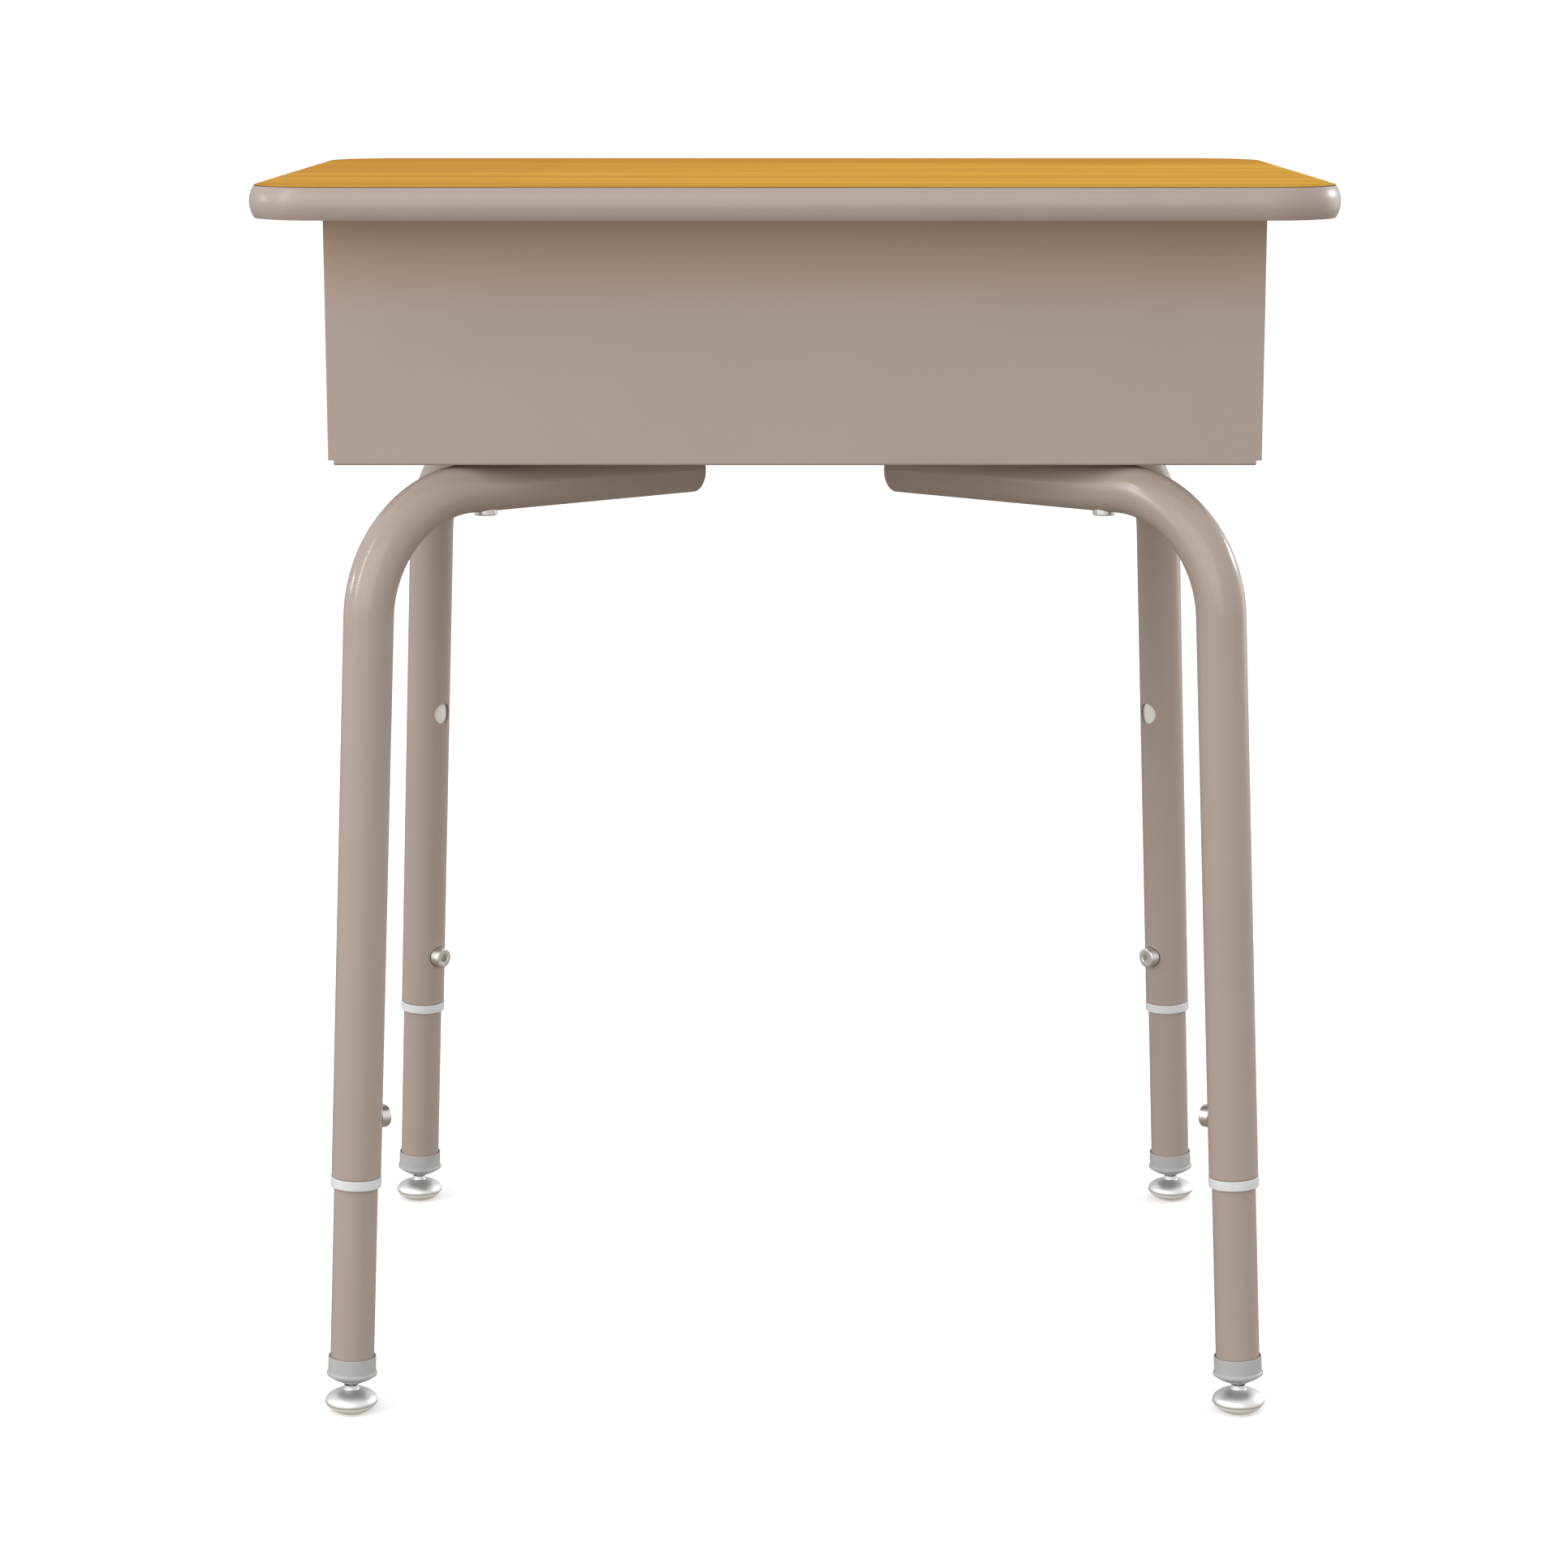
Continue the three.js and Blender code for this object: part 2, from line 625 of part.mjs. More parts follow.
function buildLeg({ name, angle }) {
  const leg = new THREE.Group();
  leg.rotation.z = angle;
  desk.add(leg);
  add(leg, `leg_tube_${name}`, upperLeg(), 'powder_coat');
  add(leg, `leg_bolt_${name}`, legBolt(), 'zinc');
  add(leg, `leg_nut_${name}`, legNut(), 'zinc');
  add(leg, `leg_screw_${name}`, legScrew(), 'zinc');

  const line = new THREE.Group();
  line.position.x = LEG_FOOT_RADIUS;
  line.rotation.y = -LEG_LEAN;
  leg.add(line);
  add(line, `nylon_ring_${name}`, nylonRing(), 'nylon');
  add(line, `adjust_bolt_${name}`, adjustBolt(), 'zinc');
  add(line, `leg_insert_${name}`, lowerLeg(), 'powder_coat');
  add(line, `ferrule_${name}`, ferrule(), 'ferrule');
  add(line, `glide_stem_${name}`, glideStem(), 'nickel');

  const foot = new THREE.Group();
  foot.position.x = lineRadius(BALL_HEIGHT);
  leg.add(foot);
  add(foot, `glide_dome_${name}`, turned(closed(DOME_PROFILE)), 'nickel');
  add(foot, `glide_pad_${name}`, turned(PAD_PROFILE), 'pad');
}

// ---- screws of the top ------------------------------------------------------------------------

function buildTopScrews() {
  const seat = BOX_CEILING - SHEET - GAP;
  [-1, 1].forEach((side) => {
    SCREW_Y.forEach((y, i) => {
      const head = turned([
        [0, seat - SCREW_HEAD_HEIGHT],
        [SCREW_HEAD_RADIUS * 0.6, seat - SCREW_HEAD_HEIGHT],
        [SCREW_HEAD_RADIUS, seat - SCREW_HEAD_HEIGHT / 2],
        [SCREW_HEAD_RADIUS, seat],
        [0, seat],
      ], 12);
      const shank = rod(SCREW_SHANK, seat - 1, UNDERSIDE + SCREW_DEPTH);
      const screw = combine([head, shank]);
      screw.translate(side * SCREW_X, y, 0);
      add(desk, `top_screw_${side < 0 ? 'left' : 'right'}_${i + 1}`, screw, 'zinc');
    });
  });
}

buildTop();
buildPan();
buildSide('book_box_side_left', -1);
buildSide('book_box_side_right', 1);
LEGS.forEach(buildLeg);
buildTopScrews();

export default desk;
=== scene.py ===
# Open-front student desk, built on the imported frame. Metres, +Z up, -Y is the closed side.
import json
import math

import bmesh
import bpy
from mathutils import Matrix, Vector


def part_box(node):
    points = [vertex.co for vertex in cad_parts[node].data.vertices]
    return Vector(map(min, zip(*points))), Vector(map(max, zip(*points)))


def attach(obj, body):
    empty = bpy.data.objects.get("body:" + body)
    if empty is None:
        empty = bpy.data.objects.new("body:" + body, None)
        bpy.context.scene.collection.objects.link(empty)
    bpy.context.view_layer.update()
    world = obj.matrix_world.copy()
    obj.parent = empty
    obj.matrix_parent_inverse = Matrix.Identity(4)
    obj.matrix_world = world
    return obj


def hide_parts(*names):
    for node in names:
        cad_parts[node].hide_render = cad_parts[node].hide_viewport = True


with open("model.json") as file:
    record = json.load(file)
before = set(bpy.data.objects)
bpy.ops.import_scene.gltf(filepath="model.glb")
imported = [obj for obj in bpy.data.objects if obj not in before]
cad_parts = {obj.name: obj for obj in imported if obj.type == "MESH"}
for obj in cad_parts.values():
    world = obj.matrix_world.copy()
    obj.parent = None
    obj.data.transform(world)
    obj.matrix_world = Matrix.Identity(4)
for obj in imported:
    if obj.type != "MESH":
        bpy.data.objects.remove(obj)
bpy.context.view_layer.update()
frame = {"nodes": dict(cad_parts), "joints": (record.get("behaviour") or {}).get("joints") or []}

# Work surface.
BAND_OUT = 0.0031          # how far the band's bulge stands out of the core
BAND_SAG = 0.0027          # bulge of the band's face between its edges
BAND_STEPS = 20
BAND_DROP = 0.0006         # how far its upper lip lies below the laminate's face
TONGUE_DEPTH = 0.010
TONGUE_HALF = 0.0008
CORNER_RADIUS = 0.0414     # of the core, under the band
CORNER_STEPS = 28
JOINT_X = 0.060            # where the band's two ends meet, on the open side
JOINT_GAP = 0.00015
LAMINATE_EDGE = 0.00015

# Folded sheet of the book box.
SHEET = 0.0012
FOLD = 0.0021              # outside radius of a fold
HEM_FOLD = 0.00115
SHEET_EDGE = 0.00035
PANEL_EDGE = 0.0005
FOLD_STEPS = 6
NOTCH_WIDTH = 0.0032
NOTCH_HEIGHT = 0.0028
HEM_WIDTH = 0.013
HEM_EASE = 0.0004          # its free edge is eased, and it stops this far short at the ends
HEM_LIP = 0.0018           # depth of sheet shared with the hem at its fold
FLANGE_WIDTH = 0.022
FLANGE_TURN = 0.004        # how far the turned flange reaches back along the side
FLANGE_RELIEF = 0.002
GAP = 0.0003               # between neighbouring pieces, as in the CAD
HEM_GAP = 0.00008          # between the two layers of a hem
SPLIT = 0.00002            # step between the notched and the full width of the panel
OVERLAP = 0.0001           # of two bodies that are joined into one piece

# Legs. Heights are above the floor.
UPPER_RADIUS = 0.0143
LOWER_RADIUS = 0.0127
TUBE_WALL = 0.0012
TUBE_SIDES = 72
TUBE_EDGE = 0.00025
BEND_RADIUS = 0.0715
BEND_STEPS = 30
RUN_END = 0.0803           # inner end of the horizontal run, from the desk's middle
UPPER_END = 0.1415
LOWER_END = 0.0263
LOWER_TOP = 0.3605
HOLE_PITCH = 0.0281
HOLE_COUNT = 6
ADJUST_HEIGHT = 0.1748
ADJUST_HOLE = 0.00695
THREAD_HOLE = 0.0041
PAINT_LINE = 0.252         # the lower tube is bare metal above this height
RING_HEIGHT = 0.006
RING_RADIUS = 0.0147

# Fasteners.
HEAD_RADIUS = 0.00665      # of the adjusting bolts and the leg bolts
ADJUST_HEAD_OUT = 0.0052
SOCKET_ACROSS = 0.0050
SOCKET_DEPTH = 0.0032
SHANK = 0.003
LEG_BOLT_PLACE = 0.2307    # from the desk's middle, along the run
LEG_BOLT_BASE = 0.5186
LEG_BOLT_TOP = 0.5575
NUT_ACROSS = 0.0111
NUT_HEIGHT = 0.005
NUT_ROUND = 0.00645        # radius of the nut's rounded corners
LEG_SCREW_PLACE = 0.098
LEG_SCREW_HEAD = 0.0056
LEG_SCREW_TIP = 0.0024
TOP_SCREW_SHANK = 0.0021
PAN_HEAD_HEIGHT = 0.003

# Ferrule and swivel glide.
FERRULE_BORE = 0.0033
FERRULE_TIP = 0.0171
FERRULE_RADIUS = 0.0139
FERRULE_TOP = 0.0337
STEM_TOP = 0.0355
STEM_RADIUS = 0.003
BALL_HEIGHT = 0.0104
BALL_RADIUS = 0.0039
NECK_RADIUS = 0.0022
NECK_TOP = 0.0181
GLIDE_LEVEL = 0.0064       # height of the glide's widest circle
GLIDE_RADIUS = 0.01525
GLIDE_LENS = 0.0074        # half thickness of its lens shape
COLLAR_TOP = 0.0161
COLLAR_BORE = 0.0035

# Facets round a small turned piece.
SEGMENTS = 64
SCREW_SEGMENTS = 48
SHANK_SEGMENTS = 32
HOLE_SEGMENTS = 40
SHARP_ANGLE = 32           # a steeper edge keeps a hard crease

# Camera, solved from the photograph's outlines.
CAMERA_PLACE = (0.0, -2.4164, 0.8000)
CAMERA_TILT = 79.04
CAMERA_LENS = 90.82
CAMERA_SENSOR = 36.0
CAMERA_SHIFT = -0.00699

# Floor and backdrop.
FLOOR_HALF = 40.0
FLOOR_GLOW = 0.15
WALL_PLACE = 39.0
WALL_HEIGHT = 9.0
PALE = ((0.93, 0.93, 0.93), (0.95, 0.95, 0.95))

# Room light by the height of its direction, then the softboxes: place, aim, size, radiance.
SKY_STRENGTH = 1.1
SKY_STOPS = [
    (-1.0, (0.27, 0.22, 0.18)),
    (-0.38, (0.38, 0.33, 0.28)),
    (-0.16, (0.68, 0.65, 0.62)),
    (0.0, (0.97, 0.97, 0.97)),
    (1.0, (0.88, 0.88, 0.88)),
]
DIM_SIDE = (-0.28, 0.96, 0.0)  # the room is darker this way, behind the desk
DIM_START = 0.6            # cosine of the angle from there at which it begins
DIM_LEVEL = 0.5
SOFTBOXES = [
    ("left_box", (-3.9, -2.5, 1.2), (0, 0, 0.5), (2.4, 2.2), 1.1),
    ("front_box", (-0.9, -3.3, 1.7), (0, 0, 0.5), (3.4, 2.6), 1.45),
    ("right_back_box", (2.75, 1.45, 1.40), (0.3, -0.2, 0.6), (0.9, 0.4), 20.0),
    ("right_back_fill", (3.4, 2.0, 0.6), (0.0, 0.0, 0.4), (2.0, 1.4), 1.3),
    ("left_back_spot", (-3.2, 0.45, 1.10), (-0.28, -0.2, 0.6), (0.35, 0.35), 20.0),
    ("left_strip", (-2.9, -1.45, 2.0), (-0.28, -0.2, 0.6), (0.18, 2.0), 21.0),
]


# ---- profiles ----------------------------------------------------------------------------------

def fillet(points, closed=False, steps=5):
    """The polyline with its corners rounded: a corner is (x, y) or (x, y, radius)."""
    out = []
    count = len(points)
    for i, corner in enumerate(points):
        here = Vector(corner[:2])
        radius = corner[2] if len(corner) > 2 else 0
        if not radius or (not closed and i in (0, count - 1)):
            out.append(tuple(here))
            continue
        before = Vector(points[i - 1][:2]) - here
        after = Vector(points[(i + 1) % count][:2]) - here
        half = before.angle(after) / 2
        reach = min(radius / math.tan(half), 0.49 * before.length, 0.49 * after.length)
        radius = reach * math.tan(half)
        middle = (before.normalized() + after.normalized()).normalized()
        centre = here + middle * (radius / math.sin(half))
        first = here + before.normalized() * reach - centre
        turn = math.pi - 2 * half
        sign = 1 if before.cross(after) < 0 else -1
        for step in range(steps + 1):
            angle = sign * turn * step / steps
            spoke = Matrix.Rotation(angle, 2) @ first
            out.append(tuple(centre + spoke))
    return out


def rounded_rectangle(half_x, half_y, radius, steps, joint=None):
    """Points and outward directions, anticlockwise; with `joint`, open at that x on the +Y side."""
    outline = []
    for corner, (sx, sy) in enumerate([(1, 1), (-1, 1), (-1, -1), (1, -1)]):
        centre = Vector((sx * (half_x - radius), sy * (half_y - radius)))
        for step in range(steps + 1):
            angle = (corner + step / steps) * math.pi / 2
            outward = Vector((math.cos(angle), math.sin(angle)))
            outline.append((centre + radius * outward, outward))
    if joint is None:
        return outline
    ahead, behind = outline[steps + 1:], outline[:steps + 1]
    up = Vector((0, 1))
    start = (Vector((joint - JOINT_GAP / 2, half_y)), up)
    end = (Vector((joint + JOINT_GAP / 2, half_y)), up)
    return [start, *ahead, *behind, end]


# ---- meshes ------------------------------------------------------------------------------------

def skin(rings, wrap=False):
    """Closed mesh through rings of points of the same count; `wrap` joins the last to the first."""
    mesh = bmesh.new()
    rows = [[mesh.verts.new(point) for point in ring] for ring in rings]
    pairs = list(zip(rows, rows[1:]))
    if wrap:
        pairs.append((rows[-1], rows[0]))
    else:
        mesh.faces.new(rows[0])
        mesh.faces.new(list(reversed(rows[-1])))
    count = len(rows[0])
    for low, high in pairs:
        for i in range(count):
            j = (i + 1) % count
            mesh.faces.new((low[i], high[i], high[j], low[j]))
    bmesh.ops.recalc_face_normals(mesh, faces=mesh.faces)
    return mesh


def lathe(profile, segments=SEGMENTS, closed=False):
    """Body of revolution about Z of (radius, height) points."""
    mesh = bmesh.new()
    rows = []
    for radius, height in profile:
        if radius < 1e-7:
            rows.append([mesh.verts.new((0, 0, height))])
            continue
        row = []
        for i in range(segments):
            angle = 2 * math.pi * i / segments
            row.append(mesh.verts.new((radius * math.cos(angle), radius * math.sin(angle), height)))
        rows.append(row)
    pairs = list(zip(rows, rows[1:]))
    if closed:
        pairs.append((rows[-1], rows[0]))
    for low, high in pairs:
        for i in range(segments):
            j = (i + 1) % segments
            below = (low[i % len(low)], low[j % len(low)])
            above = (high[j % len(high)], high[i % len(high)])
            mesh.faces.new(list(dict.fromkeys((*below, *above))))
    bmesh.ops.recalc_face_normals(mesh, faces=mesh.faces)
    return mesh


def prism(outline, low, high, place):
    """Straight prism of a closed outline; place(u, v, w) gives the point."""
    return skin([[place(u, v, w) for u, v in outline] for w in (low, high)])


def cylinder(radius, low, high, segments=SEGMENTS):
    return lathe([(0, low), (radius, low), (radius, high), (0, high)], segments)


def boolean(base, tools, operation):
    """The base mesh after exact cuts, unions or intersections with the tools, which are used up."""
    objects = []
    for mesh in (base, *tools):
        data = bpy.data.meshes.new("cutting")
        mesh.to_mesh(data)
        mesh.free()
        obj = bpy.data.objects.new("cutting", data)
        bpy.context.scene.collection.objects.link(obj)
        objects.append(obj)
    for tool in objects[1:]:
        modifier = objects[0].modifiers.new("cut", "BOOLEAN")
        modifier.operation = operation
        modifier.solver = "MANIFOLD"
        modifier.object = tool
    depsgraph = bpy.context.evaluated_depsgraph_get()
    data = bpy.data.meshes.new_from_object(objects[0].evaluated_get(depsgraph))
    result = bmesh.new()
    result.from_mesh(data)
    bpy.data.meshes.remove(data)
    for obj in objects:
        data = obj.data
        bpy.data.objects.remove(obj)
        bpy.data.meshes.remove(data)
    return result


def cut(base, *tools):
    return boolean(base, tools, "DIFFERENCE")


def union(base, *tools):
    return boolean(base, tools, "UNION")


def common(base, *tools):
    return boolean(base, tools, "INTERSECT")


def moved(mesh, matrix):
    mesh.transform(matrix)
    return mesh


def piece(name, mesh, material, body, replaced):
    """Visible object that rides on `body` and stands for the CAD nodes in `replaced`."""
    data = bpy.data.meshes.new(name)
    mesh.to_mesh(data)
    mesh.free()
    data.materials.append(material)
    data.shade_smooth()
    data.set_sharp_from_angle(angle=math.radians(SHARP_ANGLE))
    obj = bpy.data.objects.new(name, data)
    bpy.context.scene.collection.objects.link(obj)
    weighted = obj.modifiers.new("normals", "WEIGHTED_NORMAL")
    weighted.keep_sharp = True
    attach(obj, body)
    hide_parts(*replaced)
    return obj


# ---- materials ---------------------------------------------------------------------------------

class Shader:
    """A Principled material with short calls for its nodes."""

    def __init__(self, name, **values):
        self.material = bpy.data.materials.new(name)
        self.material.use_nodes = True
        self.tree = self.material.node_tree
        self.bsdf = self.tree.nodes["Principled BSDF"]
        for socket, value in values.items():
            self.bsdf.inputs[SOCKETS[socket]].default_value = value
        self.place = self.node("ShaderNodeTexCoord").outputs["Object"]

    def node(self, kind, **settings):
        node = self.tree.nodes.new(kind)
        for key, value in settings.items():
            setattr(node, key, value)
        return node

    def link(self, source, target):
        self.tree.links.new(source, target)

    def stretched(self, scale, rotation=(0, 0, 0)):
        mapping = self.node("ShaderNodeMapping")
        mapping.inputs["Scale"].default_value = scale
        mapping.inputs["Rotation"].default_value = rotation
        self.link(self.place, mapping.inputs["Vector"])
        return mapping.outputs["Vector"]

    def noise(self, scale, detail=3.0, rough=0.5, source=None, distortion=0.0):
        noise = self.node("ShaderNodeTexNoise")
        noise.inputs["Scale"].default_value = scale
        noise.inputs["Detail"].default_value = detail
        noise.inputs["Roughness"].default_value = rough
        noise.inputs["Distortion"].default_value = distortion
        self.link(source or self.place, noise.inputs["Vector"])
        return noise.outputs["Fac"]

    def spread(self, source, low, high, to_low=0.0, to_high=1.0):
        """Smooth step of `source` from one range to another."""
        spread = self.node("ShaderNodeMapRange", interpolation_type="SMOOTHSTEP")
        sockets = ("From Min", "From Max", "To Min", "To Max")
        for socket, value in zip(sockets, (low, high, to_low, to_high)):
            spread.inputs[socket].default_value = value
        self.link(source, spread.inputs["Value"])
        return spread.outputs["Result"]

    def math(self, operation, a, b):
        node = self.node("ShaderNodeMath", operation=operation)
        for socket, value in zip(node.inputs, (a, b)):
            if isinstance(value, (int, float)):
                socket.default_value = value
            else:
                self.link(value, socket)
        return node.outputs[0]

    def mix(self, factor, a, b):
        node = self.node("ShaderNodeMix", data_type="RGBA")
        sockets = [s for s in node.inputs if s.enabled]
        for socket, value in zip(sockets, (factor, a, b)):
            if isinstance(value, tuple):
                socket.default_value = (*value, 1.0)
            elif isinstance(value, (int, float)):
                socket.default_value = value
            else:
                self.link(value, socket)
        return next(s for s in node.outputs if s.enabled)

    def component(self, axis):
        """The surface point's x, y or z in metres."""
        split = self.node("ShaderNodeSeparateXYZ")
        self.link(self.place, split.inputs[0])
        return split.outputs[axis]

    def colour(self, source):
        self.link(source, self.bsdf.inputs["Base Color"])

    def roughness(self, source, low, high):
        """Roughness between two limits; a range across 0.27 would speckle a denoised render."""
        self.link(self.spread(source, 0.3, 0.7, low, high), self.bsdf.inputs["Roughness"])

    def bump(self, source, distance, strength):
        """Adds a bump on top of any that is there already."""
        bump = self.node("ShaderNodeBump")
        bump.inputs["Distance"].default_value = distance
        bump.inputs["Strength"].default_value = strength
        self.link(source, bump.inputs["Height"])
        if self.bsdf.inputs["Normal"].links:
            self.link(self.bsdf.inputs["Normal"].links[0].from_socket, bump.inputs["Normal"])
        self.link(bump.outputs["Normal"], self.bsdf.inputs["Normal"])


SOCKETS = {"metallic": "Metallic", "specular": "Specular IOR Level"}


def oak_laminate(top, back):
    """Straight-grained oak print: gold to the right, painted shade darkening it toward `back`, dark
    core at the edge.
    """
    shader = Shader("oak_laminate", specular=0.012)
    broad = shader.noise(2.6, 3.0, 0.55, shader.stretched((1.0, 5.0, 5.0)), 1.2)
    bands = shader.noise(9.0, 4.0, 0.62, shader.stretched((0.22, 9.0, 9.0)), 0.5)
    lines = shader.noise(9.0, 3.0, 0.6, shader.stretched((0.5, 34.0, 34.0)), 0.4)
    pores = shader.noise(60.0, 2.0, 0.6, shader.stretched((0.55, 11.0, 11.0)), 0.2)
    drift = shader.spread(shader.component(0), -0.34, 0.12)
    red, gold = (0.450, 0.186, 0.034), (0.565, 0.310, 0.024)
    base = shader.mix(shader.math("MULTIPLY", drift, shader.spread(broad, 0.1, 0.5)), red, gold)
    band = shader.spread(bands, 0.35, 0.65)
    streaked = shader.mix(band, (0.430, 0.180, 0.007), (0.680, 0.400, 0.050))
    line = shader.spread(lines, 0.34, 0.66)
    fine = shader.mix(line, (0.410, 0.180, 0.007), (0.670, 0.385, 0.044))
    blended = shader.mix(0.5, shader.mix(0.4, base, fine), streaked)
    marks = shader.math("MULTIPLY", shader.spread(pores, 0.56, 0.70), 0.3)
    marked = shader.mix(marks, blended, (0.300, 0.130, 0.014))
    # Painted shade: the laminate darkens over its last 16 cm toward the back edge.
    painted_back_shade = shader.spread(shader.component(1), back - 0.16, back, 0.0, 0.6)
    back_shaded = shader.mix(painted_back_shade, marked, (0.420, 0.172, 0.002))
    core = shader.spread(shader.component(2), top - 0.0001, top - 0.0003)
    shader.colour(shader.mix(core, back_shaded, (0.070, 0.034, 0.018)))
    shader.roughness(lines, 0.52, 0.62)
    shader.bump(pores, 0.00004, 0.5)
    return shader.material


def edge_band():
    """Stone-coloured vinyl with faint marks along it from being drawn."""
    shader = Shader("edge_band", specular=0.42)
    cloud = shader.noise(35.0, 3.0)
    shader.colour(shader.mix(cloud, (0.332, 0.272, 0.242), (0.361, 0.296, 0.265)))
    shader.roughness(shader.noise(160.0, 2.0), 0.30, 0.33)
    shader.bump(shader.noise(900.0, 2.0), 0.00002, 0.35)
    drawn = shader.noise(240.0, 2.0, 0.5, shader.stretched((0.02, 0.02, 9.0)))
    shader.bump(drawn, 0.00003, 0.25)
    return shader.material


def powder_coat(name="powder_coat"):
    """Stone-coloured paint, a little warmer close under the work surface: painted warm shade from the
    overhang.
    """
    shader = Shader(name, specular=0.45)
    cloud = shader.noise(14.0, 3.0)
    speck = shader.noise(2600.0, 1.0)
    base = shader.mix(cloud, (0.335, 0.272, 0.236), (0.362, 0.296, 0.258))
    flecked = shader.mix(shader.spread(speck, 0.62, 0.74, 0.0, 0.25), base, (0.47, 0.41, 0.37))
    # Painted shade: the paint turns warmer and browner toward the top of the closed panel, standing
    # in for the warm shade under the overhang.
    warm = shader.spread(shader.component(2), 0.625, 0.695, 0.0, 0.8)
    shader.colour(shader.mix(warm, flecked, (0.383, 0.246, 0.132)))
    shader.roughness(shader.noise(420.0, 2.0), 0.20, 0.22)
    shader.bump(shader.noise(620.0, 2.0, 0.45), 0.00003, 0.3)
    return shader


def insert_finish():
    """Powder coat below the paint line, bare zinc-plated steel above it."""
    shader = powder_coat("leg_insert_finish")
    painted = shader.bsdf.inputs["Base Color"].links[0].from_socket
    height, wave = shader.component(2), shader.math("MULTIPLY", shader.noise(90.0), 0.004)
    bare = shader.spread(shader.math("ADD", height, wave), PAINT_LINE, PAINT_LINE + 0.0015)
    steel = shader.mix(shader.noise(70.0, 4.0), (0.78, 0.76, 0.73), (0.88, 0.86, 0.83))
    shader.colour(shader.mix(bare, painted, steel))
    shader.link(shader.math("MULTIPLY", bare, 0.3), shader.bsdf.inputs["Metallic"])
    return shader.material


def nylon():
    shader = Shader("nylon_white", specular=0.4)
    shader.bsdf.inputs["Subsurface Weight"].default_value = 0.12
    shader.bsdf.inputs["Subsurface Radius"].default_value = (0.002, 0.002, 0.002)
    shader.bsdf.inputs["Subsurface Scale"].default_value = 1.0
    shader.colour(shader.mix(shader.noise(120.0), (0.58, 0.59, 0.60), (0.66, 0.67, 0.68)))
    shader.roughness(shader.noise(500.0), 0.36, 0.48)
    shader.bump(shader.noise(700.0), 0.00003, 0.3)
    return shader.material


def ferrule_plastic():
    shader = Shader("ferrule_grey", specular=0.45)
    shader.colour(shader.mix(shader.noise(90.0), (0.36, 0.36, 0.355), (0.42, 0.42, 0.415)))
    shader.roughness(shader.noise(350.0), 0.34, 0.46)
    shader.bump(shader.noise(800.0), 0.00004, 0.35)
    return shader.material


def pad_plastic():
    shader = Shader("pad_pale", specular=0.35)
    shader.colour(shader.mix(shader.noise(200.0), (0.76, 0.76, 0.75), (0.84, 0.84, 0.83)))
    shader.roughness(shader.noise(400.0), 0.45, 0.6)
    scuff = shader.noise(60.0, 4.0, 0.6, shader.stretched((1.0, 8.0, 1.0), (0, 0, 0.6)))
    shader.bump(scuff, 0.00006, 0.4)
    return shader.material


def plated(name, dark, light, low, high, rings):
    """Bright plated metal: two tones, roughness limits and the pitch of its turning marks."""
    shader = Shader(name, metallic=1.0)
    shader.colour(shader.mix(shader.noise(150.0, 3.0), dark, light))
    shader.roughness(shader.noise(260.0, 3.0), low, high)
    marks = shader.noise(rings, 2.0, 0.5, shader.stretched((0.03, 0.03, 1.0)))
    shader.bump(marks, 0.000012, 0.25)
    return shader.material


def particle_board():
    shader = Shader("particle_board", specular=0.2)
    chips = shader.node("ShaderNodeTexVoronoi", feature="F1")
    chips.inputs["Scale"].default_value = 420.0
    shader.link(shader.place, chips.inputs["Vector"])
    tone = shader.mix(chips.outputs["Color"], (0.30, 0.19, 0.09), (0.55, 0.40, 0.22))
    shader.colour(shader.mix(0.6, tone, (0.42, 0.29, 0.15)))
    shader.roughness(chips.outputs["Distance"], 0.75, 0.95)
    shader.bump(chips.outputs["Distance"], 0.0003, 0.5)
    return shader.material


def backer_sheet():
    shader = Shader("backer_sheet", specular=0.3)
    weave = shader.noise(240.0, 3.0, 0.6)
    fibres = shader.noise(120.0, 3.0, 0.6, shader.stretched((1.0, 6.0, 1.0)))
    tone = shader.mix(fibres, (0.440, 0.255, 0.085), (0.560, 0.345, 0.130))
    shader.colour(shader.mix(shader.spread(weave, 0.5, 0.8, 0.0, 0.4), tone, (0.60, 0.40, 0.18)))
    shader.roughness(weave, 0.55, 0.75)
    shader.bump(weave, 0.00005, 0.4)
    return shader.material


# ---- work surface ------------------------------------------------------------------------------

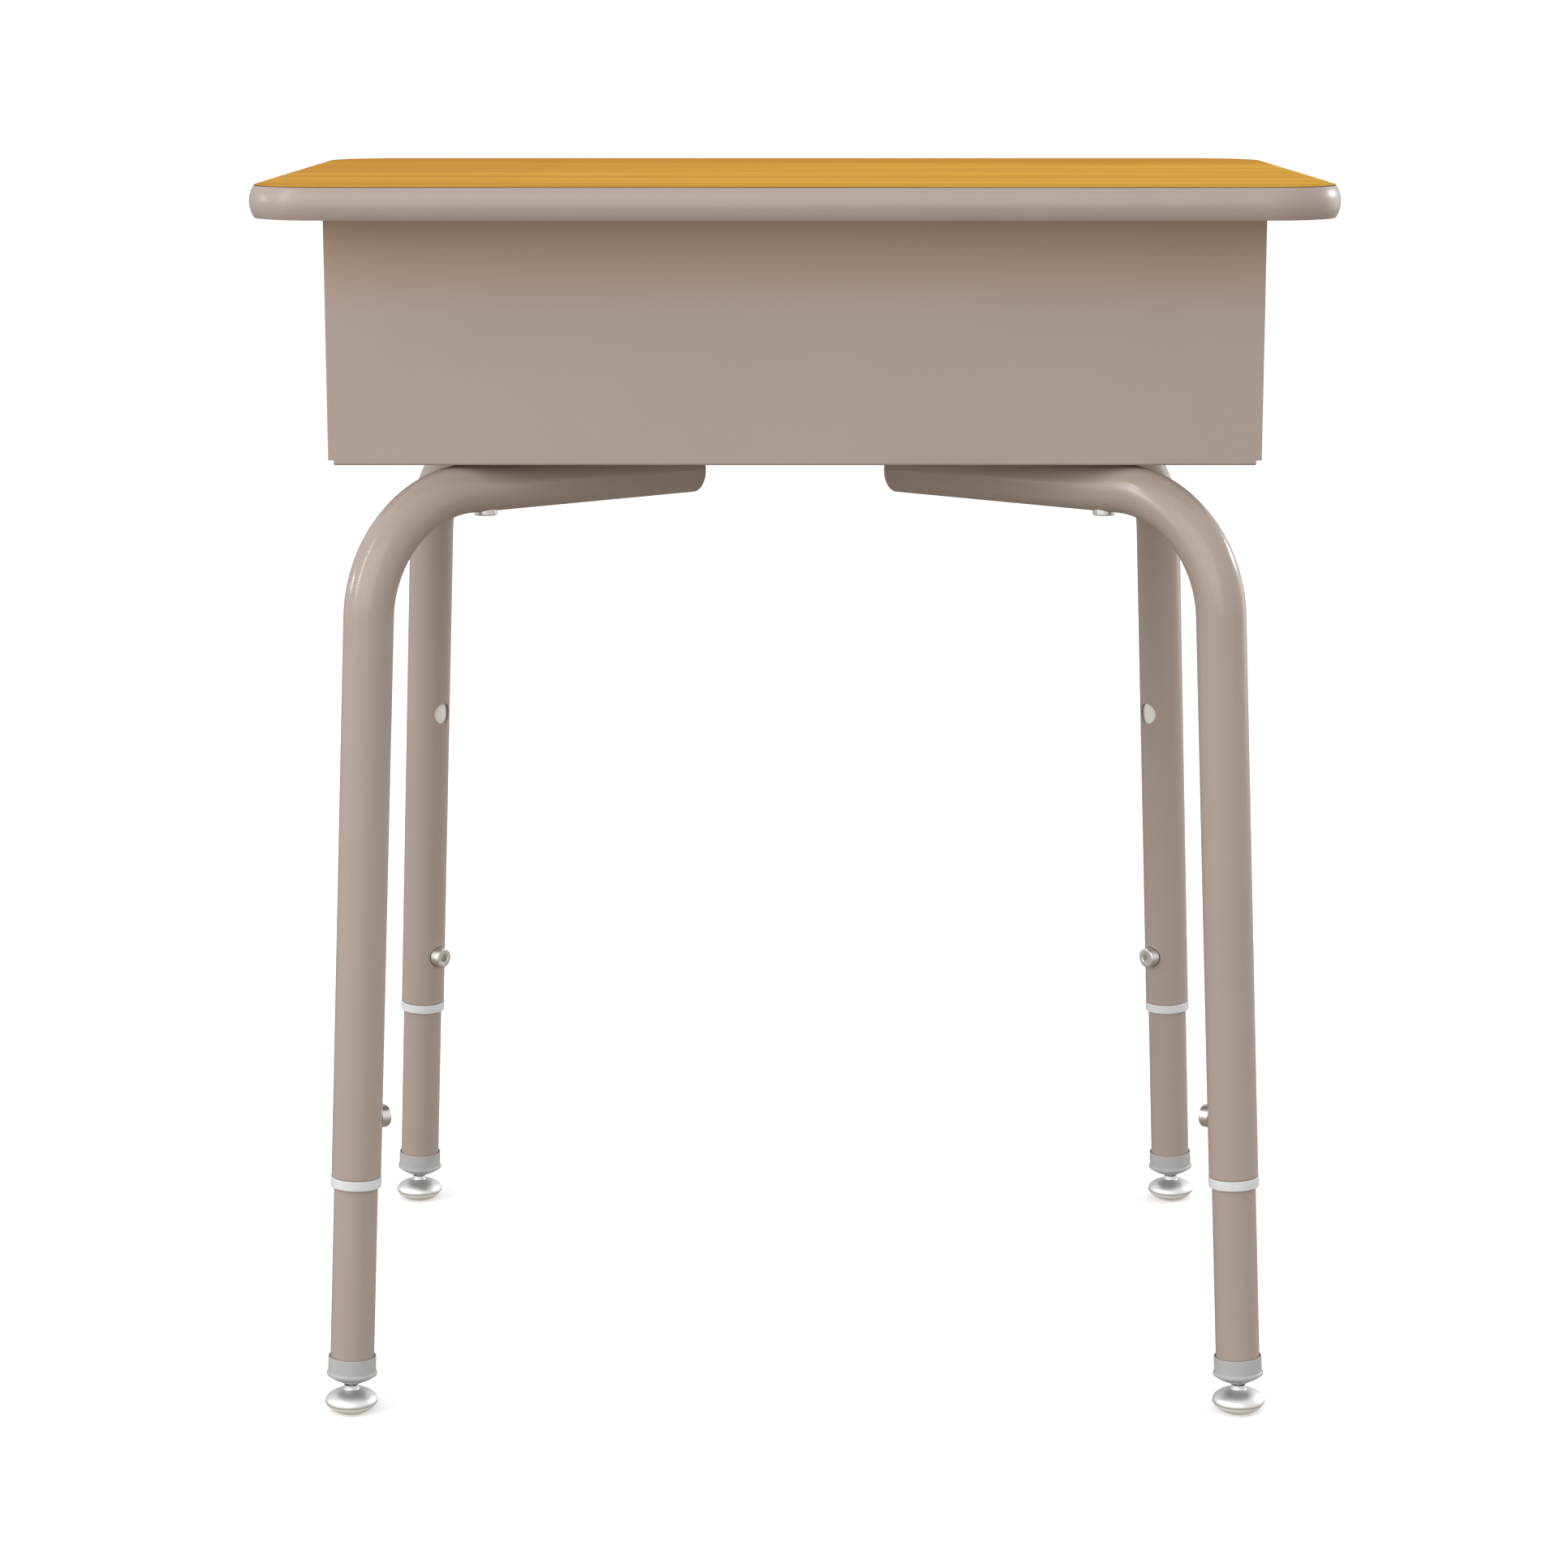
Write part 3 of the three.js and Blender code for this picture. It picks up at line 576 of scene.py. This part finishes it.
def build_top():
    low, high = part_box("top_laminate")
    band_low, band_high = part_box("edge_band")
    half_x, half_y = high.x, high.y
    middle = (band_low.z + band_high.z - BAND_DROP) / 2
    half = (band_high.z - BAND_DROP - band_low.z) / 2

    outline = rounded_rectangle(half_x, half_y, CORNER_RADIUS, CORNER_STEPS)
    edge = LAMINATE_EDGE
    levels = [(0, low.z), (0, high.z - edge), (-0.3 * edge, high.z - 0.3 * edge), (-edge, high.z)]
    rings = [[(*(p + n * out), z) for p, n in outline] for out, z in levels]
    oak = MATERIAL["oak_laminate"]
    piece("laminate_sheet", skin(rings), oak, "desk", ["top_laminate"])

    radius = (half * half + BAND_SAG * BAND_SAG) / (2 * BAND_SAG)
    reach = math.asin(half / radius)
    face = []
    for step in range(BAND_STEPS + 1):
        angle = reach * (2 * step / BAND_STEPS - 1)
        face.append((BAND_OUT - radius * (1 - math.cos(angle)), middle + radius * math.sin(angle)))
    back = [
        (GAP, middle + half), (GAP, middle + TONGUE_HALF),
        (-TONGUE_DEPTH, middle + TONGUE_HALF), (-TONGUE_DEPTH, middle - TONGUE_HALF),
        (GAP, middle - TONGUE_HALF), (GAP, middle - half),
    ]
    stations = rounded_rectangle(half_x, half_y, CORNER_RADIUS, CORNER_STEPS, JOINT_X)
    rings = [[(*(p + n * out), z) for out, z in face + back] for p, n in stations]
    piece("edge_moulding", skin(rings), MATERIAL["edge_band"], "desk", ["edge_band"])


# ---- book box ----------------------------------------------------------------------------------

def folded(outer, inner, half_widths, place, edge=SHEET_EDGE, middle=0.0):
    """Folded strip of sheet: matching points of its two faces, and its half-width at each."""
    rings = []
    for a, b, half_width in zip(outer, inner, half_widths):
        a, b = Vector(a), Vector(b)
        depth = edge / (b - a).length
        side = []
        for step in range(4):
            angle = step / 3 * math.pi / 2
            side.append((half_width - edge * (1 - math.sin(angle)), depth * (1 - math.cos(angle))))
        side += [(w, 1 - d) for w, d in reversed(side)]
        loop = side + [(-w, d) for w, d in reversed(side)]
        rings.append([place(*(a + (b - a) * d), middle + w) for w, d in loop])
    return skin(rings)


def on_x(y, z, x):
    """Place of a section in the upright plane along Y."""
    return Vector((x, y, z))


def build_pan():
    """Closed panel and floor in one folded sheet, hemmed at the open side and both sides."""
    low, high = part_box("book_box_pan")
    half, closed_y, open_y, floor, ceiling = high.x, low.y, high.y, low.z, high.z
    floor_half = half - NOTCH_WIDTH
    hem_top = floor + 2 * SHEET + HEM_GAP
    notch = floor + NOTCH_HEIGHT
    corner = [
        (open_y - HEM_WIDTH, hem_top), (open_y, hem_top, HEM_FOLD), (open_y, floor, HEM_FOLD),
        (closed_y, floor, FOLD), (closed_y, notch - SPLIT), (closed_y, notch),
        (closed_y, ceiling, FOLD), (closed_y + FLANGE_WIDTH, ceiling),
    ]
    seam = floor + SHEET
    inside = closed_y + SHEET
    inner = [
        (open_y - HEM_WIDTH, seam + HEM_GAP), (open_y - SHEET, seam + HEM_GAP, HEM_GAP / 2),
        (open_y - SHEET, seam, HEM_GAP / 2), (inside, seam, FOLD - SHEET),
        (inside, notch - SPLIT), (inside, notch),
        (inside, ceiling - SHEET, FOLD - SHEET), (closed_y + FLANGE_WIDTH, ceiling - SHEET),
    ]
    outer = fillet(corner, steps=FOLD_STEPS)
    inner = fillet(inner, steps=FOLD_STEPS)
    arc = FOLD_STEPS + 1
    before = 1 + 3 * arc + 1
    flange_half = half - FLANGE_WIDTH - FLANGE_RELIEF
    widths = [floor_half - HEM_FOLD] * (2 + 2 * arc)
    widths += [floor_half] * (before - len(widths))
    widths += [half] * 2 + [flange_half] * (len(outer) - before - 2)
    main = folded(outer, inner, widths, on_x, PANEL_EDGE)
    hems = []
    for side in (-1, 1):
        lip, back = floor_half - SHEET - GAP, floor_half - HEM_WIDTH
        nose = fillet([
            (back, seam - OVERLAP), (lip, seam - OVERLAP), (lip, floor),
            (floor_half, floor, HEM_FOLD), (floor_half, hem_top, HEM_FOLD), (back, hem_top, HEM_EASE),
        ], closed=True)
        start, end = inside + 0.0002, open_y - 0.0006
        hems.append(prism(nose, start, end, lambda u, v, w: (side * u, w, v)))
    mesh = union(main, *hems)
    piece("pan_sheet", mesh, MATERIAL["powder_coat"], "desk", ["book_box_pan"])


def build_side(name, node, side):
    """Side sheet: a C of sheet, its hem at the open side and its flange behind the closed panel."""
    low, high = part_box(node)
    wide = max(abs(low.x), abs(high.x))
    near, open_y, base, ceiling = low.y, high.y, low.z, high.z
    middle, half = (near + open_y) / 2, (open_y - near) / 2

    def on_y(x, z, y):
        return Vector((side * x, y, z))

    outer = fillet([
        (wide - FLANGE_WIDTH, ceiling), (wide, ceiling, FOLD),
        (wide, base, FOLD), (wide - NOTCH_WIDTH - HEM_WIDTH, base),
    ], steps=FOLD_STEPS)
    inner = fillet([
        (wide - FLANGE_WIDTH, ceiling - SHEET), (wide - SHEET, ceiling - SHEET, FOLD - SHEET),
        (wide - SHEET, base + SHEET, FOLD - SHEET), (wide - NOTCH_WIDTH - HEM_WIDTH, base + SHEET),
    ], steps=FOLD_STEPS)
    main = folded(outer, inner, [half - HEM_FOLD] * len(outer), on_y, SHEET_EDGE, middle)

    def across(u, v, w):
        return (side * u, v, w)

    back, lip, inside = wide - 2 * SHEET - HEM_GAP, open_y - HEM_LIP, wide - SHEET + OVERLAP
    nose = fillet([
        (back, open_y - HEM_WIDTH, HEM_EASE), (back, open_y, HEM_FOLD), (wide, open_y, HEM_FOLD),
        (wide, lip), (inside, lip), (inside, open_y - HEM_WIDTH),
    ], closed=True)
    hem = prism(nose, base + HEM_EASE, ceiling - HEM_EASE, across)

    back, end = wide - HEM_WIDTH, near + FLANGE_TURN
    turned = fillet([(back, near), (wide, near, FOLD), (wide, end)], steps=FOLD_STEPS)
    within = fillet([
        (back, near + SHEET), (wide - SHEET, near + SHEET, FOLD - SHEET), (wide - SHEET, end),
    ], steps=FOLD_STEPS)
    outline = turned + list(reversed(within))
    flange = prism(outline, base + 0.0005, ceiling - SHEET - GAP, across)
    mesh = union(main, hem, flange)
    piece(name, mesh, MATERIAL["powder_coat"], "desk", [node])


# ---- fasteners ---------------------------------------------------------------------------------

def hexagon(across, turn=0.0):
    radius = across / math.sqrt(3)
    angles = [math.radians(60 * i + turn) for i in range(6)]
    return [(radius * math.cos(angle), radius * math.sin(angle)) for angle in angles]


def upright(u, v, w):
    return (u, v, w)


def cross_recess(size, low, high):
    """Tapered cross for a screw driver, between two heights, deepest at `low`."""
    arm = size * 0.22
    rings = []
    for scale, height in ((0.45, low), (1.0, high)):
        reach, wide = size * scale, arm * (0.7 + 0.3 * scale)
        corner = [(reach, wide), (wide, wide), (wide, reach)]
        ring = []
        for quarter in range(4):
            spin = Matrix.Rotation(quarter * math.pi / 2, 2)
            ring += [spin @ Vector(point) for point in corner]
        rings.append([(p.x, p.y, height) for p in ring])
    return skin(rings)


def pan_head(radius, height, seat):
    """Domed screw head standing up from `seat`, with a cross recess."""
    profile = fillet([
        (0, seat), (radius, seat, 0.0002), (radius * 0.97, seat + height * 0.35, radius * 0.25),
        (radius * 0.62, seat + height * 0.93, radius * 0.5), (0, seat + height),
    ], steps=6)
    recess = cross_recess(radius * 0.55, seat + height * 0.35, seat + height * 1.2)
    return cut(lathe(profile, SCREW_SEGMENTS), recess)


def build_top_screws():
    for side in ("left", "right"):
        for number in (1, 2, 3):
            node = f"top_screw_{side}_{number}"
            low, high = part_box(node)
            centre = (low + high) / 2
            radius = (high.x - low.x) / 2
            seat, start, point = low.z + PAN_HEAD_HEIGHT, low.z + 0.002, high.z - 0.003
            head = pan_head(radius, PAN_HEAD_HEIGHT, 0)
            head.transform(Matrix.Rotation(math.pi, 4, "X") @ Matrix.Rotation(0.4 + number, 4, "Z"))
            head.transform(Matrix.Translation((0, 0, seat)))
            shank = lathe([
                (0, start), (TOP_SCREW_SHANK, start), (TOP_SCREW_SHANK, point), (0, high.z),
            ], SHANK_SEGMENTS)
            mesh = moved(union(head, shank), Matrix.Translation((centre.x, centre.y, 0)))
            piece(f"wood_screw_{side}_{number}", mesh, MATERIAL["zinc"], "desk", [node])


# ---- legs --------------------------------------------------------------------------------------

class Leg:
    """One leg's places, from its two joints."""

    def __init__(self, name):
        joints = {joint["name"]: joint for joint in frame["joints"]}
        hinge = Vector(joints[f"glide_tilt_{name}"]["pos_m"])
        slide = Vector(joints[f"leg_height_{name}"]["axis"])
        self.name = name
        self.lean = math.atan(math.hypot(slide.x, slide.y) / abs(slide.z))
        self.upright = Matrix.Rotation(math.atan2(hinge.y, hinge.x), 4, "Z")
        self.hinge_radius = math.hypot(hinge.x, hinge.y)
        self.foot_radius = self.hinge_radius + math.tan(self.lean) * BALL_HEIGHT
        lean = Matrix.Rotation(-self.lean, 4, "Y")
        self.line = self.upright @ Matrix.Translation((self.foot_radius, 0, 0)) @ lean
        self.foot = self.upright @ Matrix.Translation((self.hinge_radius, 0, 0))
        self.run_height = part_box("book_box_pan")[0].z - GAP - UPPER_RADIUS

    def radius_at(self, height):
        return self.foot_radius - math.tan(self.lean) * height

    def along(self, height):
        return height / math.cos(self.lean)


def tube_path(leg):
    """Centre-line stations of the upper tube, in the leg's upright plane: point and direction."""
    turn = math.pi / 2 - leg.lean
    trim = BEND_RADIUS * math.tan(turn / 2)
    corner = leg.radius_at(leg.run_height)
    up = Vector((-math.sin(leg.lean), 0, math.cos(leg.lean)))
    centre = Vector((corner - trim, 0, leg.run_height - BEND_RADIUS))
    start = Vector((leg.radius_at(UPPER_END), 0, UPPER_END))
    stations = [(start, up), (start + up * TUBE_EDGE, up)]
    for step in range(BEND_STEPS + 1):
        angle = leg.lean + turn * step / BEND_STEPS
        point = centre + BEND_RADIUS * Vector((math.cos(angle), 0, math.sin(angle)))
        stations.append((point, Vector((-math.sin(angle), 0, math.cos(angle)))))
    end = Vector((RUN_END, 0, leg.run_height))
    inward = Vector((-1, 0, 0))
    return [*stations, (end - inward * TUBE_EDGE, inward), (end, inward)]


def circle(point, direction, radius):
    side = Vector((0, 1, 0))
    across = side.cross(direction).normalized()
    ring = []
    for i in range(TUBE_SIDES):
        angle = 2 * math.pi * i / TUBE_SIDES
        ring.append(point + radius * (math.cos(angle) * across + math.sin(angle) * side))
    return ring


def cross_hole(radius, start, end, height):
    """Cutter across a leaning leg on the side that faces the desk's middle."""
    mesh = cylinder(radius, start, end, HOLE_SEGMENTS)
    return moved(mesh, Matrix.Translation((0, 0, height)) @ Matrix.Rotation(-math.pi / 2, 4, "Y"))


def upper_tube(leg):
    path = tube_path(leg)
    wall = UPPER_RADIUS - TUBE_WALL
    outer = [circle(p, d, UPPER_RADIUS) for p, d in path]
    outer[0] = circle(*path[0], UPPER_RADIUS - TUBE_EDGE)
    outer[-1] = circle(*path[-1], UPPER_RADIUS - TUBE_EDGE)
    inner = [circle(p, d, wall) for p, d in path]
    mesh = skin(outer + list(reversed(inner)), wrap=True)
    upper_hole = leg.along(ADJUST_HEIGHT) + HOLE_COUNT * HOLE_PITCH
    frame_of_line = leg.upright.inverted() @ leg.line
    cutters = [
        moved(cross_hole(ADJUST_HOLE, LOWER_RADIUS / 2, UPPER_RADIUS * 1.3, height), frame_of_line)
        for height in (leg.along(ADJUST_HEIGHT), upper_hole)
    ]
    return moved(cut(mesh, *cutters), leg.upright)


def lower_tube(leg):
    base, top = leg.along(LOWER_END), leg.along(LOWER_TOP)
    inner = LOWER_RADIUS - TUBE_WALL
    profile = fillet([
        (inner, base, 0.0002), (LOWER_RADIUS, base, 0.0003),
        (LOWER_RADIUS, top, 0.0003), (inner, top, 0.0002),
    ], closed=True, steps=3)
    mesh = lathe(profile, TUBE_SIDES, closed=True)
    heights = [leg.along(ADJUST_HEIGHT) + k * HOLE_PITCH for k in range(HOLE_COUNT)]
    reach = (LOWER_RADIUS / 2, LOWER_RADIUS * 1.3)
    holes = [cross_hole(THREAD_HOLE, *reach, height) for height in heights]
    return moved(cut(mesh, *holes), leg.line)


def nylon_ring(leg):
    top = leg.along(UPPER_END) - GAP
    base = top - RING_HEIGHT
    inner = LOWER_RADIUS + 0.0002
    profile = fillet([
        (inner, base, 0.0003), (RING_RADIUS, base, 0.0009),
        (RING_RADIUS, top, 0.0004), (inner, top, 0.0002),
    ], closed=True)
    return moved(lathe(profile, closed=True), leg.line)


def adjust_bolt(leg):
    start = UPPER_RADIUS - TUBE_WALL
    length = UPPER_RADIUS + ADJUST_HEAD_OUT - start
    profile = fillet([
        (0, 0), (HEAD_RADIUS, 0, 0.0003), (HEAD_RADIUS, length, 0.0009), (0.0036, length, 0.0001),
        (0.0033, length - 0.0003, 0.0001), (0, length - 0.0003),
    ])
    socket = prism(hexagon(SOCKET_ACROSS), length - SOCKET_DEPTH, length + 0.001, upright)
    mesh = cut(lathe(profile), socket)
    turn = Matrix.Rotation(-math.pi / 2, 4, "Y")
    shift = Matrix.Translation((-start, 0, leg.along(ADJUST_HEIGHT)))
    return moved(mesh, leg.line @ shift @ turn)


def ferrule(leg):
    bore, fit, pocket = FERRULE_BORE, LOWER_RADIUS + 0.00025, leg.along(LOWER_END) - GAP
    plug, plug_top = LOWER_RADIUS - TUBE_WALL - 0.0004, STEM_TOP + 0.002
    radius, tip, top = FERRULE_RADIUS, FERRULE_TIP, FERRULE_TOP
    profile = fillet([
        (bore, tip, 0.0002), (0.0050, tip, 0.0006), (0.0108, 0.0199, 0.0060),
        (0.01465, 0.0224, 0.0006), (0.01470, 0.0237, 0.0005), (radius, 0.0245, 0.0006),
        (radius, top, 0.0004), (radius - 0.0005, top, 0.0003), (fit, top - 0.0007, 0.0002),
        (fit, pocket), (plug, pocket), (plug, plug_top, 0.0006), (bore, plug_top, 0.0002),
    ], closed=True)
    return moved(lathe(profile, closed=True), leg.line)


def glide_stem(leg):
    centre, steps = leg.along(BALL_HEIGHT), 14
    points = []
    end = math.acos(NECK_RADIUS / BALL_RADIUS)
    for step in range(steps + 1):
        angle = -math.pi / 2 + (math.pi / 2 + end) * step / steps
        radius = BALL_RADIUS * math.cos(angle) if step else 0
        points.append((radius, centre + BALL_RADIUS * math.sin(angle)))
    points += fillet([
        (NECK_RADIUS, centre + BALL_RADIUS * math.sin(end) + 0.0002),
        (NECK_RADIUS, NECK_TOP, 0.0003), (STEM_RADIUS, NECK_TOP, 0.0002),
        (STEM_RADIUS, STEM_TOP, 0.0004), (0, STEM_TOP),
    ])
    return moved(lathe(points, SCREW_SEGMENTS), leg.line)


def lens(radius, height, start, end, steps, level):
    """Points on an ellipse round the glide's axis, between two angles above its widest level."""
    points = []
    for step in range(steps + 1):
        angle = math.radians(start + (end - start) * step / steps)
        points.append((radius * math.cos(angle), level + height * math.sin(angle)))
    return points


def glide_dome(leg):
    """Pressed shell: a collar, a fillet, the upper half of a lens and a rim just below its widest."""
    level, radius, height = GLIDE_LEVEL, GLIDE_RADIUS, GLIDE_LENS
    outside = lens(radius, height, -7.0, 66.0, 22, level)
    collar = fillet([
        outside[-1], (0.00455, level + height * 0.955, 0.0010), (0.00425, COLLAR_TOP, 0.0004),
        (COLLAR_BORE, COLLAR_TOP, 0.0003), (COLLAR_BORE, 0.0129, 0.0008), (0.0080, 0.0114, 0.0030),
    ], steps=6)
    inside = lens(radius - 0.00095, height - 0.0011, 48.0, -7.0, 10, level)
    return moved(lathe(outside + collar[1:] + inside, closed=True), leg.foot)


def glide_pad(leg):
    """Moulded sole: the lower half of the lens, a little smaller, with a flat underside."""
    level, radius, height = GLIDE_LEVEL, GLIDE_RADIUS, GLIDE_LENS
    inset, ceiling = 0.972, level - 0.0011
    curve = lens(radius * inset, height * inset, -60.0, -9.5, 14, level)
    profile = [(0, 0), (0.0068, 0), *curve[1:], (0.0140, ceiling), (0, ceiling)]
    return moved(lathe(profile), leg.foot)


def leg_bolt(leg):
    base, end, seat = LEG_BOLT_BASE, LEG_BOLT_TOP, leg.run_height - UPPER_RADIUS
    profile = fillet([
        (0, base + 0.0003), (0.0040, base + 0.0003, 0.0001), (0.0043, base, 0.0001),
        (HEAD_RADIUS, base, 0.0008), (HEAD_RADIUS, seat + 0.002), (0, seat + 0.002),
    ])
    socket = prism(hexagon(SOCKET_ACROSS), base - 0.001, base + 0.0014, upright)
    run = cylinder(UPPER_RADIUS + 0.0001, -0.02, 0.02, TUBE_SIDES)
    lying = Matrix.Translation((0, 0, leg.run_height)) @ Matrix.Rotation(math.pi / 2, 4, "Y")
    head = cut(lathe(profile), socket, moved(run, lying))
    shank = lathe([
        (0, base + 0.0016), (SHANK, base + 0.0016), (SHANK, end - 0.0006),
        (SHANK - 0.0006, end), (0, end),
    ], SHANK_SEGMENTS)
    place = leg.upright @ Matrix.Translation((LEG_BOLT_PLACE, 0, 0))
    return moved(union(head, shank), place)


def leg_nut(leg):
    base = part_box(f"leg_nut_{leg.name}")[0].z
    top, flat, edge = base + NUT_HEIGHT, 0.0057, 0.0007
    body = prism(hexagon(NUT_ACROSS, 30), base, top, upright)
    round_off = lathe(fillet([
        (0, base), (flat, base), (NUT_ROUND, base + edge),
        (NUT_ROUND, top - edge), (flat, top), (0, top),
    ]), SCREW_SEGMENTS)
    hole = cylinder(SHANK + 0.0002, base - 0.001, top + 0.001, HOLE_SEGMENTS)
    mesh = cut(common(body, round_off), hole)
    return moved(mesh, leg.upright @ Matrix.Translation((LEG_BOLT_PLACE, 0, 0)))


def leg_screw(leg):
    low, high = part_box(f"leg_screw_{leg.name}")
    seat = high.z - PAN_HEAD_HEIGHT
    head = pan_head(LEG_SCREW_HEAD, PAN_HEAD_HEIGHT, seat)
    shank = lathe([
        (0, low.z), (LEG_SCREW_TIP, low.z), (SHANK, low.z + 0.0006),
        (SHANK, seat + 0.0008), (0, seat + 0.0008),
    ], SHANK_SEGMENTS)
    return moved(union(head, shank), leg.upright @ Matrix.Translation((LEG_SCREW_PLACE, 0, 0)))


# Each piece of a leg: its name, its shape, its material and slot, its body, the node it stands for.
LEG_PIECES = [
    ("upper_tube", upper_tube, "powder_coat", "powder_coat", "desk", "leg_tube"),
    ("through_bolt", leg_bolt, "zinc", "zinc", "desk", "leg_bolt"),
    ("hex_nut", leg_nut, "zinc", "zinc", "desk", "leg_nut"),
    ("pan_screw", leg_screw, "zinc", "zinc", "desk", "leg_screw"),
    ("sleeve_ring", nylon_ring, "nylon", "nylon", "desk", "nylon_ring"),
    ("height_bolt", adjust_bolt, "zinc", "zinc", "desk", "adjust_bolt"),
    ("lower_tube", lower_tube, "insert", "powder_coat", "lower_leg", "leg_insert"),
    ("end_cap", ferrule, "ferrule", "ferrule", "lower_leg", "ferrule"),
    ("ball_stem", glide_stem, "nickel", "nickel", "lower_leg", "glide_stem"),
    ("dome_shell", glide_dome, "nickel", "nickel", "glide", "glide_dome"),
    ("floor_pad", glide_pad, "pad", "pad", "glide", "glide_pad"),
]

LEG_NAMES = ["left_closed_side", "right_closed_side", "right_open_side", "left_open_side"]


def build_leg(name):
    leg = Leg(name)
    for title, shape, material, slot, body, node in LEG_PIECES:
        rides = body if body == "desk" else f"{body}_{name}"
        piece(f"{title}_{name}", shape(leg), MATERIAL[material], rides, [f"{node}_{name}"])


# ---- stage, lights and camera ------------------------------------------------------------------

def stage_plane(name, corners, material):
    """Flat piece of the set, which throws no light back on the desk."""
    mesh = bmesh.new()
    mesh.faces.new([mesh.verts.new(corner) for corner in corners])
    data = bpy.data.meshes.new(name)
    mesh.to_mesh(data)
    mesh.free()
    data.materials.append(material)
    plane = bpy.data.objects.new(name, data)
    bpy.context.scene.collection.objects.link(plane)
    plane.visible_diffuse = False
    plane.visible_glossy = False
    return plane


def pale_surface(name, grain, glow):
    """Near-white finish of the set, which shines a little so that it shows as white."""
    shader = Shader(name, specular=0.0)
    shader.colour(shader.mix(shader.noise(grain), *PALE))
    shader.bsdf.inputs["Emission Strength"].default_value = glow
    return shader


def build_floor():
    size, wall, top = FLOOR_HALF, WALL_PLACE, WALL_HEIGHT
    floor = pale_surface("floor_pale", 3.0, FLOOR_GLOW)
    floor.bsdf.inputs["Roughness"].default_value = 0.9
    corners = [(-size, -size, 0), (size, -size, 0), (size, size, 0), (-size, size, 0)]
    stage_plane("studio_floor", corners, floor.material)
    backdrop = pale_surface("backdrop_pale", 0.2, 1.0)
    corners = [(-size, wall, 0), (size, wall, 0), (size, wall, top), (-size, wall, top)]
    stage_plane("studio_backdrop", corners, backdrop.material).visible_shadow = False


def area_light(name, place, target, size, radiance):
    """Softbox of size (across, up) that shines with one radiance, aimed at a point."""
    data = bpy.data.lights.new(name, "AREA")
    data.shape = "RECTANGLE"
    data.size, data.size_y = size
    data.energy = radiance * math.pi * size[0] * size[1]
    light = bpy.data.objects.new(name, data)
    bpy.context.scene.collection.objects.link(light)
    light.location = place
    light.rotation_euler = (Vector(target) - Vector(place)).to_track_quat("-Z", "Y").to_euler()


def build_world():
    """Soft room light: white overhead and at eye level, dim and warm from below and behind."""
    world = bpy.data.worlds.new("studio")
    world.use_nodes = True
    tree = world.node_tree
    background = tree.nodes["Background"]
    place = tree.nodes.new("ShaderNodeTexCoord")
    split = tree.nodes.new("ShaderNodeSeparateXYZ")
    ramp = tree.nodes.new("ShaderNodeValToRGB")
    shift = tree.nodes.new("ShaderNodeMapRange")
    shift.inputs["From Min"].default_value = -1.0
    shift.inputs["From Max"].default_value = 1.0
    tree.links.new(place.outputs["Generated"], split.inputs[0])
    tree.links.new(split.outputs[2], shift.inputs["Value"])
    tree.links.new(shift.outputs["Result"], ramp.inputs["Fac"])
    toward = tree.nodes.new("ShaderNodeVectorMath")
    toward.operation = "DOT_PRODUCT"
    toward.inputs[1].default_value = DIM_SIDE
    tree.links.new(place.outputs["Generated"], toward.inputs[0])
    dim = tree.nodes.new("ShaderNodeMapRange")
    dim.interpolation_type = "SMOOTHSTEP"
    dim.inputs["From Min"].default_value = DIM_START
    dim.inputs["To Min"].default_value = SKY_STRENGTH
    dim.inputs["To Max"].default_value = SKY_STRENGTH * DIM_LEVEL
    tree.links.new(toward.outputs["Value"], dim.inputs["Value"])
    tree.links.new(dim.outputs["Result"], background.inputs["Strength"])
    tree.links.new(ramp.outputs["Color"], background.inputs["Color"])
    elements = ramp.color_ramp.elements
    while len(elements) < len(SKY_STOPS):
        elements.new(0.5)
    for element, (height, colour) in zip(elements, SKY_STOPS):
        element.position = (height + 1) / 2
        element.color = (*colour, 1.0)
    bpy.context.scene.world = world


def build_light():
    build_world()
    for name, place, target, size, radiance in SOFTBOXES:
        area_light(name, place, target, size, radiance)


def build_camera():
    data = bpy.data.cameras.new("camera")
    data.lens = CAMERA_LENS
    data.sensor_width = CAMERA_SENSOR
    data.shift_x = CAMERA_SHIFT
    camera = bpy.data.objects.new("camera", data)
    bpy.context.scene.collection.objects.link(camera)
    camera.location = CAMERA_PLACE
    camera.rotation_euler = (math.radians(CAMERA_TILT), 0.0, 0.0)
    bpy.context.scene.camera = camera


LAMINATE_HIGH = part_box("top_laminate")[1]
NICKEL = ((0.72, 0.715, 0.70), (0.78, 0.775, 0.76))
ZINC = ((0.64, 0.64, 0.62), (0.74, 0.74, 0.72))
MATERIAL = {
    "oak_laminate": oak_laminate(LAMINATE_HIGH.z, LAMINATE_HIGH.y),
    "edge_band": edge_band(),
    "powder_coat": powder_coat().material,
    "insert": insert_finish(),
    "nylon": nylon(),
    "ferrule": ferrule_plastic(),
    "pad": pad_plastic(),
    "nickel": plated("nickel_plate", *NICKEL, 0.42, 0.46, 1800.0),
    "zinc": plated("zinc_plate", *ZINC, 0.30, 0.38, 900.0),
}

build_camera()
build_light()
build_floor()
build_top()
build_pan()
build_side("side_sheet_left", "book_box_side_left", -1)
build_side("side_sheet_right", "book_box_side_right", 1)
build_top_screws()
for leg_name in LEG_NAMES:
    build_leg(leg_name)
# Two CAD nodes keep their own shape and get only a finish.
for node_name, finish in (("top_core", particle_board()), ("top_backer", backer_sheet())):
    for holder in frame["nodes"][node_name].material_slots:
        holder.material = finish

bpy.context.scene.view_settings.view_transform = "Standard"
